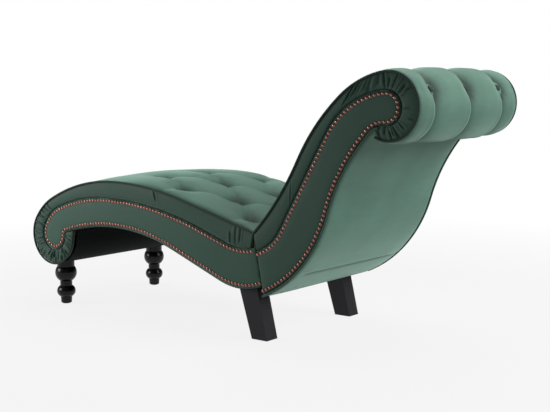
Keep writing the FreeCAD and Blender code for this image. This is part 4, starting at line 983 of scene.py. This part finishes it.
class Tree:
    """A Geometry Nodes tree, built node by node."""

    def __init__(self, name, inputs):
        self.group = bpy.data.node_groups.new(name, "GeometryNodeTree")
        face = self.group.interface
        face.new_socket(name="Geometry", in_out="INPUT", socket_type="NodeSocketGeometry")
        self.keys = {}
        for label, kind, value in inputs:
            socket = face.new_socket(name=label, in_out="INPUT", socket_type=kind)
            socket.default_value = value
            self.keys[label] = socket.identifier
        face.new_socket(name="Geometry", in_out="OUTPUT", socket_type="NodeSocketGeometry")
        self.entry = self.group.nodes.new("NodeGroupInput")
        self.exit = self.group.nodes.new("NodeGroupOutput")

    def input(self, label):
        return self.entry.outputs[label]

    def node(self, kind, settings, inputs, output=0):
        return add_node(self.group, kind, settings, inputs).outputs[output]

    def finish_with(self, geometry, material):
        """Realize the copies, give them their finish and send them out."""
        real = self.node("GeometryNodeRealizeInstances", {}, {"Geometry": geometry})
        dressed = self.node("GeometryNodeSetMaterial", {}, {"Geometry": real, "Material": material})
        self.group.links.new(dressed, self.exit.inputs[0])


def stud_tree(name, path, material, segments, rings):
    """Domed studs: spread along a path at a pitch, or one on each point of a mesh."""
    inputs = [("Radius", "NodeSocketFloat", 0.005), ("Height", "NodeSocketFloat", 0.002),
              ("Pitch", "NodeSocketFloat", 0.013), ("Spread", "NodeSocketFloat", 0.05),
              ("Dents", "NodeSocketFloat", 0.0), ("Seed", "NodeSocketInt", 1)]
    tree = Tree(name, inputs)
    dome = tree.node("GeometryNodeMeshUVSphere", {}, {
        "Segments": segments, "Rings": rings, "Radius": 1.0})
    where = tree.node("GeometryNodeInputPosition", {}, {})
    rough = tree.node("ShaderNodeTexNoise", {}, {"Vector": where, "Scale": 2.6}, "Color")
    centred = tree.node("ShaderNodeVectorMath", {"operation": "SUBTRACT"}, {
        0: rough, 1: (0.5, 0.5, 0.5)})
    dents = tree.node("ShaderNodeVectorMath", {"operation": "SCALE"}, {
        0: centred, "Scale": tree.input("Dents")})
    dented = tree.node("GeometryNodeSetPosition", {}, {"Geometry": dome, "Offset": dents})
    smooth_dome = tree.node("GeometryNodeSetShadeSmooth", {}, {"Geometry": dented})
    shape = tree.node("ShaderNodeCombineXYZ", {}, {
        "X": tree.input("Radius"), "Y": tree.input("Radius"), "Z": tree.input("Height")})
    sized = tree.node("GeometryNodeTransform", {}, {"Geometry": smooth_dome, "Scale": shape})
    points = tree.input("Geometry")
    if path:
        curve = tree.node("GeometryNodeMeshToCurve", {}, {"Mesh": points})
        points = tree.node("GeometryNodeResampleCurve", {"mode": "LENGTH"}, {
            "Curve": curve, "Length": tree.input("Pitch")})
        points = tree.node("GeometryNodeCurveToPoints", {"mode": "EVALUATED"}, {"Curve": points})
    facing = tree.node("GeometryNodeInputNamedAttribute", {"data_type": "FLOAT_VECTOR"}, {
        "Name": "facing"})
    turn = tree.node("FunctionNodeAlignRotationToVector", {"axis": "Z"}, {"Vector": facing})
    spin = tree.node("FunctionNodeRandomValue", {"data_type": "FLOAT"}, {
        2: 0.0, 3: math.tau, "Seed": tree.input("Seed")}, 1)
    about = tree.node("ShaderNodeCombineXYZ", {}, {"Z": spin})
    whirl = tree.node("FunctionNodeEulerToRotation", {}, {0: about})
    turned = tree.node("FunctionNodeRotateRotation", {"rotation_space": "LOCAL"}, {
        0: turn, 1: whirl})
    least = tree.node("ShaderNodeMath", {"operation": "SUBTRACT"}, {
        0: 1.0, 1: tree.input("Spread")})
    scale = tree.node("FunctionNodeRandomValue", {"data_type": "FLOAT"}, {
        2: least, 3: 1.0, "Seed": tree.input("Seed")}, 1)
    studs = tree.node("GeometryNodeInstanceOnPoints", {}, {
        "Points": points, "Instance": sized, "Rotation": turned, "Scale": scale})
    tree.finish_with(studs, material)
    return tree


def stud_rows(name, points, facings, edges, finish, values, segments=10, rings=6):
    """Run a stud tree over points with their facings, and keep the result as a plain mesh."""
    source = bpy.data.meshes.new(name + "_line")
    source.from_pydata(points, edges, [])
    facing = source.attributes.new("facing", "FLOAT_VECTOR", "POINT")
    facing.data.foreach_set("vector", [c for f in facings for c in f])
    carrier = bpy.data.objects.new(name + "_line", source)
    bpy.context.scene.collection.objects.link(carrier)
    tree = stud_tree(name + "_studs", bool(edges), FINISHES[finish], segments, rings)
    modifier = carrier.modifiers.new("Studs", "NODES")
    modifier.node_group = tree.group
    for label, value in values.items():
        modifier[tree.keys[label]] = value
    graph = bpy.context.evaluated_depsgraph_get()
    mesh = bpy.data.meshes.new_from_object(carrier.evaluated_get(graph), depsgraph=graph)
    bpy.data.objects.remove(carrier)
    mesh.name = name
    made = bpy.data.objects.new(name, mesh)
    bpy.context.scene.collection.objects.link(made)
    return made


def nail_row(name, nails, half, side, sizes, seed):
    """Domed copper nails on the face of a side panel, evenly spaced along their line."""
    steps = int(nails.length / NAIL_PATH_PITCH)
    face = side * (half - PANEL_INSET)
    points = []
    for k in range(steps + 1):
        (x, z), _ = nails.at(nails.length * k / steps)
        points.append((x, face, z))
    edges = [(k, k + 1) for k in range(steps)]
    return stud_rows(name, points, [(0, side, 0)] * len(points), edges, "copper", {
        "Radius": sizes.nail_radius, "Height": NAIL_HEIGHT, "Pitch": sizes.nail_pitch,
        "Spread": 0.06, "Dents": 0.10, "Seed": seed}, 10, 7)


def covered_buttons(name, cover, seed):
    """Velvet-covered buttons at the bottom of the tufts."""
    points, facings = [], []
    for distance, across, level, _ in cover.tufts:
        (x, z), up = cover.line.at(distance, -level - BUTTON_RISE)
        points.append((x, across, z))
        facings.append((up[0], 0, up[1]))
    # The buttons wear the piping's velvet, painted near black as painted shade in the pits
    return stud_rows(name, points, facings, [], "piping", {
        "Radius": BUTTON_RADIUS, "Height": BUTTON_HEIGHT, "Spread": 0.03, "Dents": 0.05,
        "Seed": seed}, 24, 14)


# A tie, from its stop disc under the deck up to its button
TIE_REACH = 0.0573
TIE_RADIUS = 0.0015
TIE_SIDES = 8
DISC_RADIUS, DISC_THICKNESS = 0.008, 0.003


def button_ties(name, cover):
    """Twine from each sewn button down to a stop disc under the deck; the head's have none."""
    vertices, faces = [], []
    for distance, across, level, _ in cover.tufts:
        if level == HEAD_LEVEL:
            continue
        (x, z), up = cover.line.at(distance)
        rings = [(-TIE_REACH - DISC_THICKNESS, DISC_RADIUS - 0.0004),
                 (-TIE_REACH - 0.0005, DISC_RADIUS), (-TIE_REACH, DISC_RADIUS - 0.0004),
                 (-TIE_REACH + 0.001, TIE_RADIUS), (-0.03, 0.8 * TIE_RADIUS),
                 (level - 0.001, TIE_RADIUS)]
        first = len(vertices)
        for height, radius in rings:
            for k in range(TIE_SIDES):
                angle = math.tau * k / TIE_SIDES
                beside, along = radius * math.cos(angle), radius * math.sin(angle)
                vertices.append((x + up[0] * height + up[1] * beside, across + along,
                                 z + up[1] * height - up[0] * beside))
        for low in range(first, len(vertices) - TIE_SIDES, TIE_SIDES):
            for k in range(TIE_SIDES):
                after = (k + 1) % TIE_SIDES
                faces.append((low + k, low + after, low + TIE_SIDES + after, low + TIE_SIDES + k))
        faces.append(tuple(range(first, first + TIE_SIDES)))
        faces.append(tuple(range(len(vertices) - TIE_SIDES, len(vertices))))
    return piece(name, vertices, faces, "twine")


# Operators


def sizes():
    return bpy.context.scene.chaise_sizes


def colours():
    return bpy.context.scene.chaise_colours


SIDES = (("left", -1), ("right", 1))


class CHAISE_OT_finishes(bpy.types.Operator):
    """Make the velvet, copper, lacquer and inner finishes"""

    bl_idname = "chaise.finishes"
    bl_label = "Finishes"

    def execute(self, context):
        make_finishes(colours())
        return {"FINISHED"}


class CHAISE_OT_cushions(bpy.types.Operator):
    """Cover the seat and the back in tufted velvet"""

    bl_idname = "chaise.cushions"
    bl_label = "Tufted cushions"

    def execute(self, context):
        for part, cover, seed in (("seat", seat_cover(sizes()), 5),
                                  ("back", back_cover(sizes()), 6)):
            made = cover.build(f"{part}_tufted_cover", sizes().grid_pitch, "cover")
            subdivide(made)
            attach(made, "root")
            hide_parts(f"{part}_cushion")
            buttons = covered_buttons(f"{part}_covered_buttons", cover, seed)
            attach(buttons, "root")
            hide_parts(f"{part}_buttons")
            ties = button_ties(f"{part}_sewn_ties", cover)
            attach(ties, "root")
            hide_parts(f"{part}_button_ties")
        return {"FINISHED"}


class CHAISE_OT_bands(bpy.types.Operator):
    """Gather the boxing bands round the foot roll and the head roll"""

    bl_idname = "chaise.bands"
    bl_label = "Boxing bands"

    def execute(self, context):
        depth = sizes().ruche_depth
        foot, tail = SEAT_SEAM.knot(4), SEAT_SEAM.length
        head, end = BACK_SEAM.knot(3), BACK_SEAM.length
        seat_spans = [(0.050, 0.100, 0.017, 0.9 * depth), (0.42, 0.44, 0.03, 0.7 * depth),
                      (foot - 0.075, foot + 0.11, 0.016, depth),
                      (foot + 0.11, foot + 0.2, 0.034, depth),
                      (foot + 0.2, tail - 0.01, 0.013, depth)]
        back_spans = [(0.235, 0.245, 0.03, 0.5 * depth), (head - 0.10, head + 0.11, 0.017, depth),
                      (head + 0.11, head + 0.24, 0.042, 0.8 * depth),
                      (head + 0.24, end, 0.021, 0.8 * depth)]
        for name, side in SIDES:
            for part, seam, nails, knots, half, spans, joint in (
                    ("seat", SEAT_SEAM, SEAT_NAILS, SEAT_BAND_KNOTS, SEAT_HALF, seat_spans, -1),
                    ("back", BACK_SEAM, BACK_NAILS, BACK_BAND_KNOTS, BACK_HALF, back_spans, 1)):
                folds = gathers(31 * joint + 7 * side, spans)
                made = boxing_band(f"{part}_boxing_band_{name}", seam, nails, knots, half, side,
                                   sizes(), folds, joint, "band" if part == "seat" else "back_band")
                subdivide(made)
                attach(made, "root")
                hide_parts(f"{part}_band_{name}")
        return {"FINISHED"}


class CHAISE_OT_panels(bpy.types.Operator):
    """Stretch the side panels and the outside back"""

    bl_idname = "chaise.panels"
    bl_label = "Side panels and outside back"

    def execute(self, context):
        for name, side in SIDES:
            for part, nails, half, joint in (("seat", SEAT_NAILS, SEAT_HALF, -1),
                                             ("back", BACK_NAILS, BACK_HALF, 1)):
                made = side_panel(f"{part}_velvet_panel_{name}", nails, half, side, joint,
                                  sizes().nail_pitch, "side" if part == "seat" else "back_side")
                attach(made, "root")
                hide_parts(f"{part}_side_panel_{name}")
        made = outside_back("velvet_outside_back")
        subdivide(made)
        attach(made, "root")
        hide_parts("outside_back")
        return {"FINISHED"}


class CHAISE_OT_nails(bpy.types.Operator):
    """Drive the copper nails round the side panels"""

    bl_idname = "chaise.nails"
    bl_label = "Nail trim"

    def execute(self, context):
        for name, side in SIDES:
            for part, nails, half, seed in (("seat", SEAT_NAILS, SEAT_HALF, 3),
                                            ("back", BACK_NAILS, BACK_HALF, 4)):
                made = nail_row(f"{part}_copper_nails_{name}", nails, half, side, sizes(),
                                seed + side)
                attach(made, "root")
                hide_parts(f"{part}_nails_{name}")
        return {"FINISHED"}


NODE_FINISHES = {
    # The piping and rear piping take their velvet painted darker, as painted shade
    "piping": ("seat_piping_left", "seat_piping_right", "back_piping_left", "back_piping_right"),
    "rear_piping": ("back_rear_piping_left", "back_rear_piping_right"),
    "lining": ("seat_lining", "foot_roll_lining"),
    "plywood": ("seat_side_board_left", "seat_side_board_right", "back_side_board_left",
                "back_side_board_right", "seat_deck", "back_deck", "seat_joint_board",
                "back_joint_board", "seat_front_rail", "seat_middle_rail", "back_middle_rail",
                "back_upper_rail", "head_roll_core", "front_leg_rail", "rear_leg_rail"),
    "foam": ("seat_foam", "back_foam"),
    "gloss": ("front_leg_left", "front_leg_right"),
    "satin": ("rear_leg_left", "rear_leg_right"),
    "steel": ("joint_bolts", "joint_nuts", "front_leg_hanger_bolts", "rear_leg_bolts"),
    "plastic": ("leg_glides",),
}


class CHAISE_OT_frame_finishes(bpy.types.Operator):
    """Give the frame's own pieces their finishes"""

    bl_idname = "chaise.frame_finishes"
    bl_label = "Frame, legs, piping and linings"

    def execute(self, context):
        for finish, nodes in NODE_FINISHES.items():
            for node in nodes:
                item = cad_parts[node]
                for place in item.material_slots:
                    place.material = FINISHES[finish]
        return {"FINISHED"}


CAMERA_PLACE = (2.2438, -2.7630, 0.7871)
CAMERA_TURN = (math.radians(90 - 6.662), 0.0, math.radians(38.036))
CAMERA_LENS = 71.83
SENSOR_WIDTH = 36.0

# Each lamp's name, place, target, width, height and power
MIDDLE = (0.1, 0.0, 0.4)
LAMPS = (
    ("head_side_softbox", (3.2, 0.6, 2.0), MIDDLE, 2.4, 1.8, 114.0),
    ("overhead_softbox", (0.2, 0.8, 3.2), MIDDLE, 3.0, 2.2, 84.0),
    ("foot_side_fill", (-1.7, -1.5, 0.8), (-0.3, -0.28, 0.35), 1.0, 0.8, 25.0),
)
FILL_STRENGTH = 0.15

# The floor glows white to the eye, all of it from far away and most of it near the object
FLOOR_REACH = 30.0
FLOOR_GLOW = 0.86
GLOW_FROM, GLOW_RISE = 1.1, 0.6
FLOOR_TONES = ((0.30, 0.30, 0.30, 1), (0.33, 0.33, 0.33, 1))
WHITE = (1.0, 1.0, 1.0, 1.0)


def soft_light(name, place, target, width, height, power):
    """Area lamp aimed at a point."""
    lamp = bpy.data.lights.new(name, "AREA")
    lamp.shape = "RECTANGLE"
    lamp.size, lamp.size_y = width, height
    lamp.energy = power
    made = bpy.data.objects.new(name, lamp)
    made.location = place
    aim = Vector(target) - Vector(place)
    made.rotation_euler = aim.to_track_quat("-Z", "Y").to_euler()
    bpy.context.scene.collection.objects.link(made)


def seen_directly(finish):
    """1 for rays from the camera, in mirrors and through glass."""
    kinds = [finish.node("ShaderNodeLightPath", {}, {}, name)
             for name in ("Is Camera Ray", "Is Glossy Ray", "Is Transmission Ray")]
    return (kinds[0] + kinds[1] + kinds[2]).clamped()


def studio_floor():
    """Pale floor that keeps the object's shadow."""
    mesh = bpy.data.meshes.new("studio_floor")
    corners = ((-1, -1), (1, -1), (1, 1), (-1, 1))
    mesh.from_pydata([(FLOOR_REACH * x, FLOOR_REACH * y, 0) for x, y in corners], [],
                     [(0, 1, 2, 3)])
    finish = Finish("studio_floor", Roughness=0.95, Specular_IOR_Level=0.0)
    glow = finish.node("ShaderNodeEmission", {}, {"Color": WHITE, "Strength": 1.0})
    finish.set(Base_Color=finish.blend(finish.noise(3.0), *FLOOR_TONES))
    distance = finish.node("ShaderNodeVectorMath", {"operation": "LENGTH"}, {
        0: finish.place()}, "Value")
    afar = ((distance - GLOW_FROM) * GLOW_RISE).clamped()
    mixed = finish.node("ShaderNodeMixShader", {}, {
        0: seen_directly(finish) * (FLOOR_GLOW + (1 - FLOOR_GLOW) * afar),
        1: finish.surface.outputs[0], 2: glow})
    out = finish.tree.nodes["Material Output"]
    finish.tree.links.new(mixed.socket, out.inputs["Surface"])
    mesh.materials.append(finish.material)
    floor = bpy.data.objects.new("studio_floor", mesh)
    bpy.context.scene.collection.objects.link(floor)
    return floor


def studio_world():
    """White surroundings to the eye, and a plain soft fill for the object."""
    world = bpy.data.worlds.new("studio")
    world.use_nodes = True
    bpy.context.scene.world = world
    tree = world.node_tree
    fill = tree.nodes["Background"]
    fill.inputs["Color"].default_value = WHITE
    fill.inputs["Strength"].default_value = FILL_STRENGTH
    white = add_node(tree, "ShaderNodeBackground", {}, {"Color": WHITE, "Strength": 1.0})
    path = add_node(tree, "ShaderNodeLightPath", {}, {})
    mix = add_node(tree, "ShaderNodeMixShader", {}, {
        0: path.outputs["Is Camera Ray"], 1: fill.outputs[0], 2: white.outputs[0]})
    tree.links.new(mix.outputs[0], tree.nodes["World Output"].inputs["Surface"])


class CHAISE_OT_stage(bpy.types.Operator):
    """Set up the floor, the lamps and the camera"""

    bl_idname = "chaise.stage"
    bl_label = "Stage"

    def execute(self, context):
        studio_floor()
        studio_world()
        for lamp in LAMPS:
            soft_light(*lamp)
        lens = bpy.data.cameras.new("camera")
        lens.lens = CAMERA_LENS
        lens.sensor_width = SENSOR_WIDTH
        camera = bpy.data.objects.new("camera", lens)
        camera.location = CAMERA_PLACE
        camera.rotation_euler = CAMERA_TURN
        context.scene.collection.objects.link(camera)
        context.scene.camera = camera
        context.scene.view_settings.view_transform = "Standard"
        return {"FINISHED"}


OPERATORS = (CHAISE_OT_finishes, CHAISE_OT_cushions, CHAISE_OT_bands, CHAISE_OT_panels,
             CHAISE_OT_nails, CHAISE_OT_frame_finishes, CHAISE_OT_stage)


class CHAISE_PT_panel(bpy.types.Panel):
    """Sidebar panel with every step of the chaise longue"""

    bl_idname = "CHAISE_PT_panel"
    bl_label = "Velvet chaise longue"
    bl_space_type = "VIEW_3D"
    bl_region_type = "UI"
    bl_category = "Chaise"

    def draw(self, context):
        for settings in (context.scene.chaise_sizes, context.scene.chaise_colours):
            box = self.layout.box()
            for key in settings.bl_rna.properties.keys():
                if key not in ("rna_type", "name"):
                    box.prop(settings, key)
        for operator in OPERATORS:
            self.layout.operator(operator.bl_idname)


CLASSES = (ChaiseSizes, ChaiseColours, *OPERATORS, CHAISE_PT_panel)


def register():
    for item in CLASSES:
        bpy.utils.register_class(item)
    bpy.types.Scene.chaise_sizes = bpy.props.PointerProperty(type=ChaiseSizes)
    bpy.types.Scene.chaise_colours = bpy.props.PointerProperty(type=ChaiseColours)


def unregister():
    del bpy.types.Scene.chaise_sizes
    del bpy.types.Scene.chaise_colours
    for item in reversed(CLASSES):
        bpy.utils.unregister_class(item)


def main():
    register()
    bpy.ops.chaise.finishes()
    bpy.ops.chaise.cushions()
    bpy.ops.chaise.bands()
    bpy.ops.chaise.panels()
    bpy.ops.chaise.nails()
    bpy.ops.chaise.frame_finishes()
    bpy.ops.chaise.stage()


if __name__ == "__main__":
    main()
